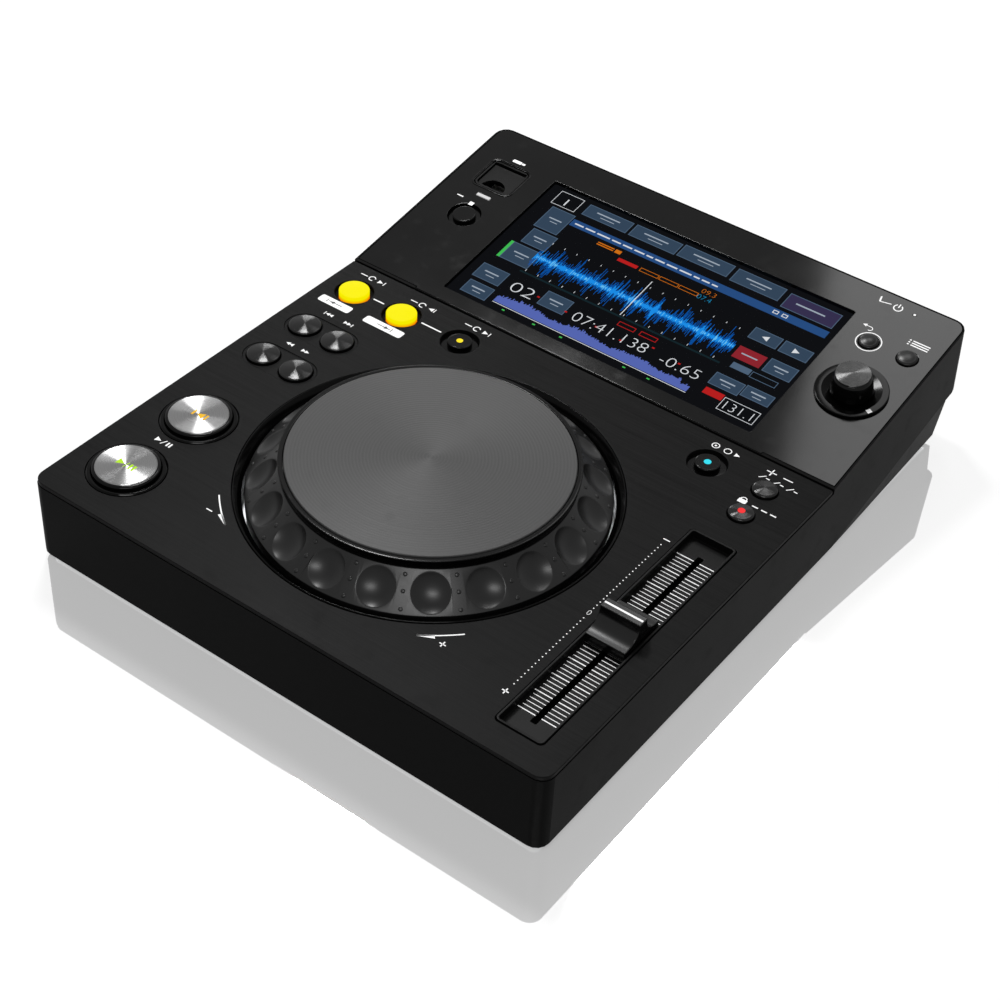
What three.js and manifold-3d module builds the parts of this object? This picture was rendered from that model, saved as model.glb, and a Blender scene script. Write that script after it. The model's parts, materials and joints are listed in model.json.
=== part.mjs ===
import * as THREE from "three";
import { ConvexGeometry } from "three/addons/geometries/ConvexGeometry.js";
import { mergeVertices } from "three/addons/utils/BufferGeometryUtils.js";
import Module from "manifold-3d";

// Tabletop media player for mixing music: a flat deck with a jog wheel, keys and a tempo
// slider in front, and a tilted head with a touch screen, a memory-stick port and a
// selector knob behind. Millimetres: X to the right, Y from front to rear, Z up.

const wasm = await Module();
wasm.setup();

// Overall sizes. The deck height is taken from the underside of the case, and the head
// length is measured up its slope.
const BODY_WIDTH = 240;
const DECK_DEPTH = 190.7;
const DECK_HEIGHT = 35.8;
const HEAD_LENGTH = 108.3;
const HEAD_TILT = THREE.MathUtils.degToRad(9.8);
const HEAD_STEP = 0.2;
const REAR_LEAN = 3.6;
const REAR_UNDERCUT = 11.1;
const OVERHANG_HEIGHT = 20;
const OVERHANG_LIP = 1.6;
const FOOT_HEIGHT = 3;

// Thicknesses, and the clearances that all fits share.
const SKIN = 2;
const SHEET = 2.5;
const CASE_WALL = 3;
const REAR_WALL_THICKNESS = 2.5;
const PANEL_WALL = 2.5;
const BASE_SHEET = 1.5;
const BOARD = 1.6;
const FIT = 0.3;
const RUNNING_FIT = 0.35;
const OVERRUN = 2;
const WELD = 1;

// Sides of the round outlines, by size.
const TINY_STEPS = 10;
const SMALL_STEPS = 14;
const MEDIUM_STEPS = 24;
const LARGE_STEPS = 48;
const CORNER_STEPS = 4;
const BOWL_STEPS = 3;

// Levels and edges worked out from the sizes above.
const LEFT = -BODY_WIDTH / 2;
const RIGHT = BODY_WIDTH / 2;
const CASE_BOTTOM = FOOT_HEIGHT;
const BASE_TOP = CASE_BOTTOM + BASE_SHEET;
const DECK_TOP = CASE_BOTTOM + DECK_HEIGHT;
const SHEET_TOP = DECK_TOP - SKIN;
const SHEET_BOTTOM = SHEET_TOP - SHEET;
const DECK_STACK = SKIN + SHEET;
const HEAD_STACK = SKIN + FIT + SHEET;
const HEAD_EDGE_TOP = DECK_TOP + HEAD_STEP;
const HEAD_RUN = HEAD_LENGTH * Math.cos(HEAD_TILT);
const BODY_DEPTH = DECK_DEPTH + HEAD_RUN + REAR_LEAN;
const REAR_WALL = BODY_DEPTH - REAR_UNDERCUT;
const OVERHANG = CASE_BOTTOM + OVERHANG_HEIGHT;
const CAVITY_SIDE = RIGHT - CASE_WALL;
const CAVITY_REAR = REAR_WALL - REAR_WALL_THICKNESS;

// The jog wheel. Heights are taken from the deck's top.
const JOG = {
  x: -1.7,
  y: 93.3,
  wellRadius: 74.9,
  wellBevel: 3.5,
  wellBevelDepth: 3.4,
  wellLip: 0.4,
  wellWall: 1.6,
  wellDepth: 8,
  rimGap: 1,
  ringDrop: 1.3,
  ringSkirt: 5.2,
  ringSkirtWall: 2.9,
  ringSlope: 13.2,
  ringTopHeight: 9.6,
  ringLand: 2.6,
  ringThickness: 4.6,
  dimples: 20,
  dimplePhase: THREE.MathUtils.degToRad(2.4),
  dimpleRadius: 7.7,
  dimpleDepth: 2.4,
  plateInset: 1.8,
  plateHeight: 14,
  plateThickness: 2,
  plateEdge: 0.4,
  plateFootRadius: 33,
  plateFootWall: 3,
  plateTravel: 0.5,
  plateClearance: 0.3,
  trimNeck: 1.2,
  trimWidth: 1.9,
  trimHeight: 4,
  trimLip: 1.9,
  trimEdge: 0.4,
  spindleRadius: 4,
  spindleTop: 2,
  sleeveWall: 3.6,
  sleeveGap: 0.9,
  hubTop: 4,
  hubThickness: 2,
  hubMargin: 0.8,
  panWall: 2,
  panOverlap: 3.7,
  panFloorTop: 12.4,
  panFloor: 1.6,
  discRadius: 28,
  discThickness: 0.8,
  discDrop: 10.2,
  discSlots: 16,
  discSlotLength: 3.5,
  discSlotWidth: 1.6,
};
const JOG_RING_RADIUS = JOG.wellRadius - JOG.wellBevel - JOG.rimGap;
const JOG_TOP_RADIUS = JOG_RING_RADIUS - JOG.ringSlope;
const JOG_PLATE_RADIUS = JOG_TOP_RADIUS - JOG.plateInset;
const JOG_HUB_RADIUS = JOG_PLATE_RADIUS + JOG.hubMargin;
const JOG_PAN_RADIUS = JOG.wellRadius - JOG.wellBevel + JOG.wellWall + JOG.panOverlap;

// The tempo slider, along the right side of the deck.
const SLIDER = {
  inset: 20.6,
  recessFront: 12.3,
  recessWidth: 19.9,
  recessLength: 124.5,
  recessDepth: 3,
  recessCorner: 2,
  wall: 1,
  lip: 0.4,
  slotWidth: 3,
  slotLength: 106.4,
  bodyWidth: 14,
  bodyLength: 124,
  bodyHeight: 8.6,
  bodyWall: 2,
  bodyFloor: 3,
  carriageLength: 10,
  carriageHeight: 4,
  carriageGap: 0.4,
  stemWidth: 2.2,
  stemLength: 6,
  stemTop: 5.2,
  capWidth: 17,
  capLength: 21.7,
  capTop: 9.5,
  capShoulder: 2.2,
  capRidge: 2.5,
  capRidgeDrop: 0.8,
  capLift: 0.6,
};
const SLIDER_X = RIGHT - SLIDER.inset;
const SLIDER_Y = SLIDER.recessFront + SLIDER.recessLength / 2;
const SLIDER_FLOOR = DECK_TOP - SLIDER.recessDepth;

// The push keys. Each has a cap, a flange that stops it under the sheet, and a stem that
// ends above its switch on the board.
const KEY = {
  flange: 1.2,
  flangeThickness: 1.2,
  stemRadius: 1.5,
  switchGap: 0.3,
};
const SKIP_KEY = { radius: 6.9, rise: 1.5, crown: 0.7, travel: 0.8 };
const LOOP_KEY = { radius: 6.6, rise: 1.6, crown: 0.6, travel: 1, recessRadius: 8.5 };
const SMALL_KEY = { radius: 5.15, rise: 1.8, crown: 0.9, travel: 0.6 };
const RING_KEY = { radius: 5.25, rise: 0.5, crown: 0.5, travel: 0.6, moatRadius: 7.9, moatDepth: 1.7 };
const STOP_KEY = { radius: 5.25, rise: 0.5, crown: 0.5, travel: 0.6, moatRadius: 7.25, moatDepth: 1.5 };
const BACK_KEY = { radius: 4.15, rise: 1.5, crown: 0.9, travel: 0.6 };
const TAG_KEY = { radius: 4.35, rise: 1.5, crown: 0.9, travel: 0.6 };
const DISC_KEY = { radius: 13.25, rise: 2.5, crown: 0.6, travel: 1, steps: MEDIUM_STEPS };
const COLLAR = { radius: 15.4, rise: 0.5, bevel: 0.6 };

// Places of the keys: columns from the nearest side, rows from the front or from the head.
const LEFT_COLUMN = LEFT + 24;
const PAIR_SPACING = 17.4;
const PLAY_ROW = 26.5;
const CUE_ROW = 66.5;
const SEARCH_ROW = 114.1;
const TRACK_ROW = 140;
const LOOP_ROW = DECK_DEPTH - 18.7;
const MODE_ROW = DECK_DEPTH - 17.7;
const MASTER_ROW = DECK_DEPTH - 35.2;
const LOOP_IN_INSET = 15.3;
const LOOP_OUT_INSET = 41.1;
const RELOOP_INSET = 71.3;
const VINYL_INSET = 46.9;
const TEMPO_INSET = 20.8;
const DECK_KEYS = [
  { name: "search_back_button", x: LEFT_COLUMN - PAIR_SPACING / 2, y: SEARCH_ROW, key: SKIP_KEY },
  { name: "search_forward_button", x: LEFT_COLUMN + PAIR_SPACING / 2, y: SEARCH_ROW, key: SKIP_KEY },
  { name: "track_back_button", x: LEFT_COLUMN - PAIR_SPACING / 2, y: TRACK_ROW, key: SKIP_KEY },
  { name: "track_forward_button", x: LEFT_COLUMN + PAIR_SPACING / 2, y: TRACK_ROW, key: SKIP_KEY },
  { name: "loop_in_button", x: LEFT + LOOP_IN_INSET, y: LOOP_ROW, key: LOOP_KEY },
  { name: "loop_out_button", x: LEFT + LOOP_OUT_INSET, y: LOOP_ROW, key: LOOP_KEY },
  { name: "reloop_button", x: LEFT + RELOOP_INSET, y: MODE_ROW, key: RING_KEY },
  { name: "jog_mode_button", x: RIGHT - VINYL_INSET, y: MODE_ROW, key: RING_KEY },
  { name: "tempo_range_button", x: RIGHT - TEMPO_INSET, y: MODE_ROW, key: SMALL_KEY },
  { name: "tempo_lock_button", x: RIGHT - TEMPO_INSET, y: MASTER_ROW, key: SMALL_KEY },
];
const DISC_KEYS = [
  { name: "play_button", collar: "play_collar", x: LEFT_COLUMN, y: PLAY_ROW, key: DISC_KEY },
  { name: "cue_button", collar: "cue_collar", x: LEFT_COLUMN, y: CUE_ROW, key: DISC_KEY },
];

// The head. Places are up its slope from the front edge, rear insets are down it from the
// rear edge, and levels are square to the face plate, with zero on its top.
const FACE = {
  sideRim: 1.1,
  frontRim: 1.5,
  frontRimCentre: 0.5,
  frontStepInset: 33.5,
  rearRim: 0.7,
  corner: 5,
};
const WINDOW = { sideInset: 43, front: 7.7, rearInset: 18.3, corner: 0.8 };
const GLASS = { margin: 2.5, thickness: 1.2 };
const SCREEN = { margin: 5.7, thickness: 5 };
const SCREEN_TOP = -SKIN - FIT - GLASS.thickness - FIT;
const HEAD_BOARD = { top: -16, sideMargin: 15, frontMargin: 8, rearMargin: 9 };
const PORT = {
  inset: 21.35,
  rearInset: 20.9,
  width: 19.3,
  length: 17.9,
  corner: 3,
  hingeCorner: 0.6,
  wall: 1,
  depth: 8.2,
  floor: 1.2,
  mouthDrop: 0.2,
};
const PORT_X = LEFT + PORT.inset;
const PORT_REAR = HEAD_LENGTH - PORT.rearInset;
const PORT_FRONT = PORT_REAR - PORT.length;
const PORT_Y = PORT_FRONT + PORT.length / 2;
const PORT_COVER = {
  fit: 0.3,
  drop: 1.1,
  thickness: 1.5,
  hingeInset: 1.35,
  barrelRadius: 0.85,
  pinRadius: 0.7,
  pinReach: 0.6,
  notchRadius: 6,
};
const COVER_HINGE_Y = PORT_REAR - PORT.wall - PORT_COVER.hingeInset;
const COVER_HINGE_LEVEL = -PORT_COVER.drop - PORT_COVER.thickness / 2;
const STICK_SOCKET = {
  width: 13.1,
  height: 5.8,
  drop: 0.4,
  wall: 0.4,
  floor: 1.4,
  tongueWidth: 11,
  tongueThickness: 1.8,
  tongueGap: 0.5,
  tongueDrop: 1.2,
};
const LAMP = { inset: 22.1, rearInset: 44.3, width: 7, length: 1.6, stand: 0.05 };
const STOP = { inset: 22.3, rearInset: 58.8 };
const BACK = { inset: 29.8, rearInset: 30.9 };
const TAG = { inset: 11.9, rearInset: 30.9 };
const SLEEP_DOT = { inset: 21.9, rearInset: 6.8, radius: 0.8 };
const HEAD_KEYS = [
  { name: "stick_stop_button", x: LEFT + STOP.inset, y: HEAD_LENGTH - STOP.rearInset, key: STOP_KEY },
  { name: "back_button", x: RIGHT - BACK.inset, y: HEAD_LENGTH - BACK.rearInset, key: BACK_KEY },
  { name: "tag_button", x: RIGHT - TAG.inset, y: HEAD_LENGTH - TAG.rearInset, key: TAG_KEY },
];
const SELECTOR = {
  inset: 21.3,
  rearInset: 59.2,
  dishRadius: 15.15,
  dishHeight: 1.3,
  spigotRadius: 13.2,
  bowlRadius: 12.2,
  bowlDepth: 0.9,
  bowlFloor: 1.1,
  knobRadius: 7.85,
  knobFootRadius: 8.8,
  knobBottom: 1.5,
  knobTop: 9.6,
  knobCrown: 0.7,
  capRadius: 6.9,
  capThickness: 0.4,
  capCone: 0.5,
  shaftRadius: 2.4,
  shaftEnd: 9.6,
  travel: 0.8,
  rotorWall: 1,
  rotorTop: 2.4,
  rotorEnd: 11.4,
  bushWall: 0.9,
  encoderHalf: 6.5,
  encoderTop: 7.2,
};
const SELECTOR_X = RIGHT - SELECTOR.inset;
const SELECTOR_Y = HEAD_LENGTH - SELECTOR.rearInset;
const ROTOR_BORE = SELECTOR.shaftRadius + RUNNING_FIT;
const ROTOR_RADIUS = ROTOR_BORE + SELECTOR.rotorWall;

// The body's panels, and the screws and posts that hold them.
const PANEL_WRAP = 11;
const PANEL_CORNER = 5.5;
const REAR_CORNER = 6;
const DECK_EDGE_GAP = 0.25;
const DECK_REAR_GAP = 0.8;
const SCREW = {
  sideInset: 8.5,
  frontInset: 9,
  rearInset: 6,
  headRadius: 3,
  headHeight: 1.2,
  shankRadius: 1.4,
  length: 10,
  postRadius: 3.5,
};
const SCREW_PLACES = [
  { name: "screw_front_left", x: LEFT + SCREW.sideInset, y: SCREW.frontInset },
  { name: "screw_front_right", x: RIGHT - SCREW.sideInset, y: SCREW.frontInset },
  { name: "screw_rear_left", x: LEFT + SCREW.sideInset, y: REAR_WALL - SCREW.rearInset },
  { name: "screw_rear_right", x: RIGHT - SCREW.sideInset, y: REAR_WALL - SCREW.rearInset },
];
const FOOT = { radius: 10, sideInset: 22, frontInset: 24, rearInset: 34, topRadius: 11 };
const FOOT_PLACES = [
  { name: "foot_front_left", x: LEFT + FOOT.sideInset, y: FOOT.frontInset },
  { name: "foot_front_right", x: RIGHT - FOOT.sideInset, y: FOOT.frontInset },
  { name: "foot_rear_left", x: LEFT + FOOT.sideInset, y: BODY_DEPTH - FOOT.rearInset },
  { name: "foot_rear_right", x: RIGHT - FOOT.sideInset, y: BODY_DEPTH - FOOT.rearInset },
];
const SIDE_CREASE = { start: 92, depth: 2.2 };
const VENT = { count: 7, width: 3, length: 34, pitch: 9, rearInset: 150 };
const POST_RADIUS = 2.5;

// The boards inside.
const DECK_BOARD = {
  drop: 9.7,
  sideMargin: 5.5,
  frontMargin: 14,
  rearMargin: 3,
  gap: 0.8,
  mouthHalf: 66,
};
const DECK_BOARD_TOP = SHEET_BOTTOM - DECK_BOARD.drop;
const DECK_POST = { sideInset: 8, front: 46, rearInset: 36, middleInset: 8 };
const DECK_BOARD_POSTS = [
  { x: LEFT + DECK_POST.sideInset, y: DECK_POST.front },
  { x: LEFT + DECK_POST.sideInset, y: DECK_DEPTH - DECK_POST.rearInset },
  { x: RIGHT - DECK_POST.sideInset, y: DECK_POST.front },
  { x: RIGHT - DECK_POST.sideInset, y: DECK_DEPTH - DECK_POST.rearInset },
  { x: 0, y: DECK_DEPTH - DECK_POST.middleInset },
];
const HEAD_POST = { inset: 32, front: 11, rear: 12.3 };
const HEAD_BOARD_POSTS = [
  { x: LEFT + HEAD_POST.inset, y: HEAD_POST.front },
  { x: RIGHT - HEAD_POST.inset, y: HEAD_POST.front },
  { x: LEFT + HEAD_POST.inset, y: HEAD_LENGTH - HEAD_POST.rear },
  { x: RIGHT - HEAD_POST.inset, y: HEAD_LENGTH - HEAD_POST.rear },
];
const STANDOFF = { height: 1.5, radius: 3 };
const BOARD_LEVEL = BASE_TOP + STANDOFF.height;
const BOARD_TOP = BOARD_LEVEL + BOARD;
const MAIN_BOARD = { left: -44, rightInset: 12.5, depth: 78, rearGap: 1, postInset: 6 };
const SUPPLY = {
  leftInset: 16,
  width: 54,
  depth: 72,
  rearGap: 14,
  postInset: 6,
  coreWidth: 30,
  coreDepth: 26,
  coreGap: 2.4,
  canRadius: 6,
  canHeight: 12,
};
const SUPPLY_LEFT = LEFT + SUPPLY.leftInset;
const SUPPLY_REAR = CAVITY_REAR - SUPPLY.rearGap;

// The sockets in the rear wall. Heights are above the boards.
const JACKS = {
  x: 46,
  spacing: 14,
  blockWidth: 26,
  blockDepth: 10,
  blockHeight: 12.4,
  level: 6.4,
  barrelRadius: 4.1,
  barrelReach: 7,
  boreRadius: 1.6,
};
const NETWORK = { x: 10, width: 16, depth: 18, height: 13, mouthWidth: 12, mouthHeight: 8, mouthDepth: 12 };
const COMPUTER = {
  x: -18,
  width: 12,
  depth: 16,
  height: 11,
  mouthWidth: 8.6,
  mouthHeight: 7.8,
  mouthDepth: 10,
  tongueWidth: 5.6,
  tongueHeight: 3.2,
  tongueSetback: 1.5,
};
const INLET = {
  x: -76,
  width: 22,
  height: 12.6,
  depth: 16,
  level: 6.6,
  mouthWidth: 15.4,
  mouthHeight: 8.6,
  mouthDepth: 12,
  pinRadius: 1.2,
  pinSpacing: 8.8,
  pinSetback: 2,
};
const POWER = {
  inset: 29.5,
  level: 6.4,
  halfWidth: 5,
  halfHeight: 3.4,
  stand: 2,
  travel: 1.2,
  flange: 1.2,
  flangeThickness: 1.5,
  stemRadius: 2,
  stemLength: 8,
};
const POWER_X = RIGHT - POWER.inset;

// Solids and the steps that join or cut them.
function toSolid(geometry) {
  const bare = geometry.clone();
  bare.deleteAttribute("normal");
  bare.deleteAttribute("uv");
  const merged = mergeVertices(bare);
  const corners = merged.index.array;
  const kept = [];
  for (let i = 0; i < corners.length; i += 3) {
    const [a, b, c] = [corners[i], corners[i + 1], corners[i + 2]];
    if (a !== b && b !== c && c !== a) kept.push(a, b, c);
  }
  const vertProperties = new Float32Array(merged.attributes.position.array);
  const triVerts = new Uint32Array(kept);
  return new wasm.Manifold(new wasm.Mesh({ numProp: 3, vertProperties, triVerts }));
}

function toGeometry(solid) {
  const mesh = solid.getMesh();
  const geometry = new THREE.BufferGeometry();
  geometry.setAttribute("position", new THREE.BufferAttribute(mesh.vertProperties, 3));
  geometry.setIndex(new THREE.BufferAttribute(mesh.triVerts, 1));
  geometry.computeVertexNormals();
  return geometry;
}

function joined(solids) {
  return solids.reduce((whole, next) => whole.add(next));
}

function cut(solid, cutters) {
  return cutters.reduce((whole, next) => whole.subtract(next), solid);
}

// Outlines as lists of points, run anticlockwise.
function arcPoints(x, y, radius, from, to, steps) {
  return Array.from({ length: steps + 1 }, (_, i) => {
    const angle = from + ((to - from) * i) / steps;
    return new THREE.Vector2(x + radius * Math.cos(angle), y + radius * Math.sin(angle));
  });
}

function circlePoints(x, y, radius, steps) {
  return arcPoints(x, y, radius, 0, 2 * Math.PI, steps).slice(0, steps);
}

function rectPoints(x0, x1, y0, y1, frontRadius = 0, rearRadius = frontRadius) {
  const corners = [
    [x0, y0, 1, 1, frontRadius, Math.PI],
    [x1, y0, -1, 1, frontRadius, 1.5 * Math.PI],
    [x1, y1, -1, -1, rearRadius, 2 * Math.PI],
    [x0, y1, 1, -1, rearRadius, 2.5 * Math.PI],
  ];
  return corners.flatMap(([x, y, inX, inY, radius, from]) =>
    radius === 0
      ? [new THREE.Vector2(x, y)]
      : arcPoints(x + inX * radius, y + inY * radius, radius, from, from + Math.PI / 2, CORNER_STEPS)
  );
}

// A flat outline, raised from one level to another.
function slab(points, bottom, top) {
  const shape = new THREE.Shape(points);
  const geometry = new THREE.ExtrudeGeometry(shape, { depth: top - bottom, bevelEnabled: false });
  return geometry.translate(0, 0, bottom);
}

// The same with holes right through it.
function pierced(points, bottom, top, holes) {
  const cutters = holes.map((hole) => toSolid(slab(hole, bottom - OVERRUN, top + OVERRUN)));
  return cut(toSolid(slab(points, bottom, top)), cutters);
}

function block(x0, x1, y0, y1, bottom, top) {
  return slab(rectPoints(x0, x1, y0, y1), bottom, top);
}

function rod(x, y, radius, bottom, top, steps = SMALL_STEPS) {
  return slab(circlePoints(x, y, radius, steps), bottom, top);
}

// A side outline in Y and Z, drawn out across X.
function crossBar(points, x0, x1) {
  const turn = new THREE.Matrix4().makeBasis(
    new THREE.Vector3(0, 1, 0),
    new THREE.Vector3(0, 0, 1),
    new THREE.Vector3(1, 0, 0)
  );
  return slab(points, x0, x1).applyMatrix4(turn);
}

// An outline in X and Z, drawn out from one place to another along Y.
function rearBar(points, y0, y1) {
  return slab(points, -y1, -y0).rotateX(Math.PI / 2);
}

// A turned solid: radii and heights, run anticlockwise, from axis to axis or closed.
function turned(profile, steps) {
  const points = profile.map(([radius, height]) => new THREE.Vector2(radius, height));
  return new THREE.LatheGeometry(points, steps).rotateX(Math.PI / 2);
}

function turnedRing(profile, steps) {
  return turned([...profile, profile[0]], steps);
}

// A point on the head's slope, as its depth and height in the body.
function headPoint(place, level) {
  return new THREE.Vector2(
    DECK_DEPTH + place * Math.cos(HEAD_TILT) - level * Math.sin(HEAD_TILT),
    HEAD_EDGE_TOP + place * Math.sin(HEAD_TILT) + level * Math.cos(HEAD_TILT)
  );
}

function onHead(geometry) {
  return geometry.rotateX(HEAD_TILT).translate(0, DECK_DEPTH, HEAD_EDGE_TOP);
}

// Finishes.
function finish(color, roughness, metalness) {
  return new THREE.MeshStandardMaterial({ color, roughness, metalness });
}

function blackPaint() {
  return finish(0x1b1b1c, 0.55, 0.1);
}

function brushedBlack() {
  return finish(0x232324, 0.4, 0.7);
}

function facePaint() {
  return finish(0x2b2b2c, 0.45, 0.3);
}

function glossBlack() {
  return finish(0x0a0a0b, 0.12, 0);
}

function satinBlack() {
  return finish(0x1f1f20, 0.38, 0);
}

function platePaint() {
  return finish(0x4c4c4d, 0.42, 0.5);
}

function spunAluminium() {
  return finish(0xd9dadb, 0.28, 1);
}

function litYellow() {
  return finish(0xf5ee00, 0.4, 0);
}

function clearGlass() {
  return finish(0x20262c, 0.06, 0);
}

function panelMetal() {
  return finish(0x8b8e91, 0.4, 0.9);
}

function zincSteel() {
  return finish(0xa4a7aa, 0.45, 1);
}

function blackRubber() {
  return finish(0x161616, 0.85, 0);
}

function boardGreen() {
  return finish(0x14502c, 0.55, 0);
}

function lampWhite() {
  return finish(0xe9eef0, 0.3, 0);
}

function part(name, shape, material) {
  const geometry = shape.isBufferGeometry ? shape : toGeometry(shape);
  const mesh = new THREE.Mesh(geometry, material);
  mesh.name = name;
  return mesh;
}

// Keys and the holes that they pass through.
function keyOuter(key) {
  return key.moatRadius ?? key.radius;
}

function keyHole(key) {
  return keyOuter(key) + RUNNING_FIT;
}

function keySteps(key) {
  return key.steps ?? SMALL_STEPS;
}

// A recess is a wider hole in the deck plate, with the sheet under it as its floor.
function plateHole(key) {
  return key.recessRadius ?? keyHole(key);
}

function keySolid(key, stack, boardTop) {
  const outer = keyOuter(key);
  const flangeTop = -stack - FIT;
  const flangeBottom = flangeTop - KEY.flangeThickness;
  const stemEnd = boardTop + key.travel + KEY.switchGap;
  const moat = key.moatRadius
    ? [
        [outer, -key.moatDepth],
        [key.radius, -key.moatDepth],
      ]
    : [];
  return turned(
    [
      [0, stemEnd],
      [KEY.stemRadius, stemEnd],
      [KEY.stemRadius, flangeBottom],
      [outer + KEY.flange, flangeBottom],
      [outer + KEY.flange, flangeTop],
      [outer, flangeTop],
      ...moat,
      [key.radius, key.rise - key.crown],
      [key.radius - key.crown, key.rise],
      [0, key.rise],
    ],
    keySteps(key)
  );
}

function deckKey({ name, x, y, key }, material) {
  const mesh = part(name, keySolid(key, DECK_STACK, DECK_BOARD_TOP - DECK_TOP), material);
  mesh.position.set(x, y, DECK_TOP);
  return mesh;
}

function headKey({ name, x, y, key }, material) {
  const mesh = part(name, keySolid(key, HEAD_STACK, HEAD_BOARD.top), material);
  mesh.position.set(x, y, 0);
  return mesh;
}

function discCollar({ collar, x, y, key }) {
  const inner = keyHole(key);
  const mesh = part(
    collar,
    turnedRing(
      [
        [inner, -SKIN],
        [COLLAR.radius, -SKIN],
        [COLLAR.radius, COLLAR.rise - COLLAR.bevel],
        [COLLAR.radius - COLLAR.bevel, COLLAR.rise],
        [inner, COLLAR.rise],
      ],
      MEDIUM_STEPS
    ),
    glossBlack()
  );
  mesh.position.set(x, y, DECK_TOP);
  return mesh;
}

// Holes of the deck, in the deck plate and in the sheet under it.
function keyHoles(keys) {
  return keys.map(({ x, y, key }) => circlePoints(x, y, keyHole(key), keySteps(key)));
}

function sliderHole() {
  const side = SLIDER.recessWidth / 2 + FIT;
  return rectPoints(
    SLIDER_X - side,
    SLIDER_X + side,
    SLIDER.recessFront - FIT,
    SLIDER.recessFront + SLIDER.recessLength + FIT,
    SLIDER.recessCorner
  );
}

function deckPlate() {
  const outline = rectPoints(
    LEFT + DECK_EDGE_GAP,
    RIGHT - DECK_EDGE_GAP,
    DECK_EDGE_GAP,
    DECK_DEPTH - DECK_REAR_GAP,
    PANEL_CORNER,
    0
  );
  const holes = [
    ...DECK_KEYS.map(({ x, y, key }) => circlePoints(x, y, plateHole(key), keySteps(key))),
    ...DISC_KEYS.map(({ x, y }) => circlePoints(x, y, COLLAR.radius + FIT, MEDIUM_STEPS)),
    circlePoints(JOG.x, JOG.y, JOG.wellRadius + FIT, LARGE_STEPS),
    sliderHole(),
  ];
  return part("deck_plate", pierced(outline, SHEET_TOP, DECK_TOP, holes), brushedBlack());
}

// The head's openings, as cutters through the sheet under the face plate.
function portOutline(grow) {
  const side = PORT.width / 2 + grow;
  return rectPoints(
    PORT_X - side,
    PORT_X + side,
    PORT_FRONT - grow,
    PORT_REAR + grow,
    PORT.corner
  );
}

function lampOutline(grow) {
  const centre = LEFT + LAMP.inset;
  const side = LAMP.width / 2 + grow;
  const middle = HEAD_LENGTH - LAMP.rearInset;
  const half = LAMP.length / 2 + grow;
  return rectPoints(centre - side, centre + side, middle - half, middle + half);
}

function windowOutline(grow, corner = 0) {
  const side = RIGHT - WINDOW.sideInset + grow;
  const rear = HEAD_LENGTH - WINDOW.rearInset + grow;
  return rectPoints(-side, side, WINDOW.front - grow, rear, corner);
}

function faceOutline(grow) {
  const side = RIGHT - FACE.sideRim + grow;
  const front = FACE.frontRim - grow;
  const frontCentre = FACE.frontRimCentre - grow;
  const rear = HEAD_LENGTH - FACE.rearRim + grow;
  const step = RIGHT - FACE.frontStepInset + grow;
  const rearCorners = rectPoints(-side, side, front, rear, 0, FACE.corner).slice(2);
  return [
    new THREE.Vector2(-side, front),
    new THREE.Vector2(-step, front),
    new THREE.Vector2(-step, frontCentre),
    new THREE.Vector2(step, frontCentre),
    new THREE.Vector2(step, front),
    new THREE.Vector2(side, front),
    ...rearCorners,
  ];
}

function headHoles() {
  return [
    ...keyHoles(HEAD_KEYS),
    circlePoints(SELECTOR_X, SELECTOR_Y, SELECTOR.spigotRadius + FIT, MEDIUM_STEPS),
    portOutline(FIT),
    lampOutline(FIT),
  ];
}

function facePlate() {
  const holes = [
    ...headHoles(),
    windowOutline(0, WINDOW.corner),
    circlePoints(
      RIGHT - SLEEP_DOT.inset,
      HEAD_LENGTH - SLEEP_DOT.rearInset,
      SLEEP_DOT.radius,
      TINY_STEPS
    ),
  ];
  return part("face_plate", pierced(faceOutline(0), -SKIN, 0, holes), facePaint());
}

// The case: side walls, the sheet under both plates, the head's back and the rear wall.
function caseShell() {
  const frontTop = headPoint(0, 0);
  const rearTop = headPoint(HEAD_LENGTH, 0);
  const outer = [
    new THREE.Vector2(PANEL_WRAP, CASE_BOTTOM),
    new THREE.Vector2(REAR_WALL, CASE_BOTTOM),
    new THREE.Vector2(REAR_WALL, OVERHANG),
    new THREE.Vector2(BODY_DEPTH, OVERHANG + OVERHANG_LIP),
    rearTop,
    frontTop,
    new THREE.Vector2(DECK_DEPTH, SHEET_TOP),
    new THREE.Vector2(PANEL_WRAP, SHEET_TOP),
  ];
  const innerFront = headPoint(CASE_WALL, -HEAD_STACK);
  const innerRear = headPoint(HEAD_LENGTH - CASE_WALL, -HEAD_STACK);
  const inner = [
    new THREE.Vector2(PANEL_WRAP - OVERRUN, CASE_BOTTOM - OVERRUN),
    new THREE.Vector2(CAVITY_REAR, CASE_BOTTOM - OVERRUN),
    new THREE.Vector2(CAVITY_REAR, OVERHANG + REAR_WALL_THICKNESS),
    new THREE.Vector2(BODY_DEPTH - CASE_WALL, OVERHANG + OVERHANG_LIP + REAR_WALL_THICKNESS),
    innerRear,
    innerFront,
    new THREE.Vector2(innerFront.x, SHEET_BOTTOM),
    new THREE.Vector2(PANEL_WRAP - OVERRUN, SHEET_BOTTOM),
  ];
  const body = toSolid(crossBar(outer, LEFT, RIGHT)).intersect(rearCornerEnvelope(rearTop));
  return body.subtract(toSolid(crossBar(inner, -CAVITY_SIDE, CAVITY_SIDE)));
}

// The plan of the body with its round rear corners, leaning as the head's back does.
function rearCornerEnvelope(rearTop) {
  const low = OVERHANG + OVERHANG_LIP;
  const lean = REAR_LEAN / (rearTop.y - low);
  const plan = slab(rectPoints(LEFT, RIGHT, -DECK_DEPTH, BODY_DEPTH, 0, REAR_CORNER), 0, 2 * rearTop.y);
  const shear = new THREE.Matrix4().makeShear(0, 0, 0, 0, 0, -lean);
  return toSolid(plan.applyMatrix4(shear).translate(0, lean * low, 0));
}

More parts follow.
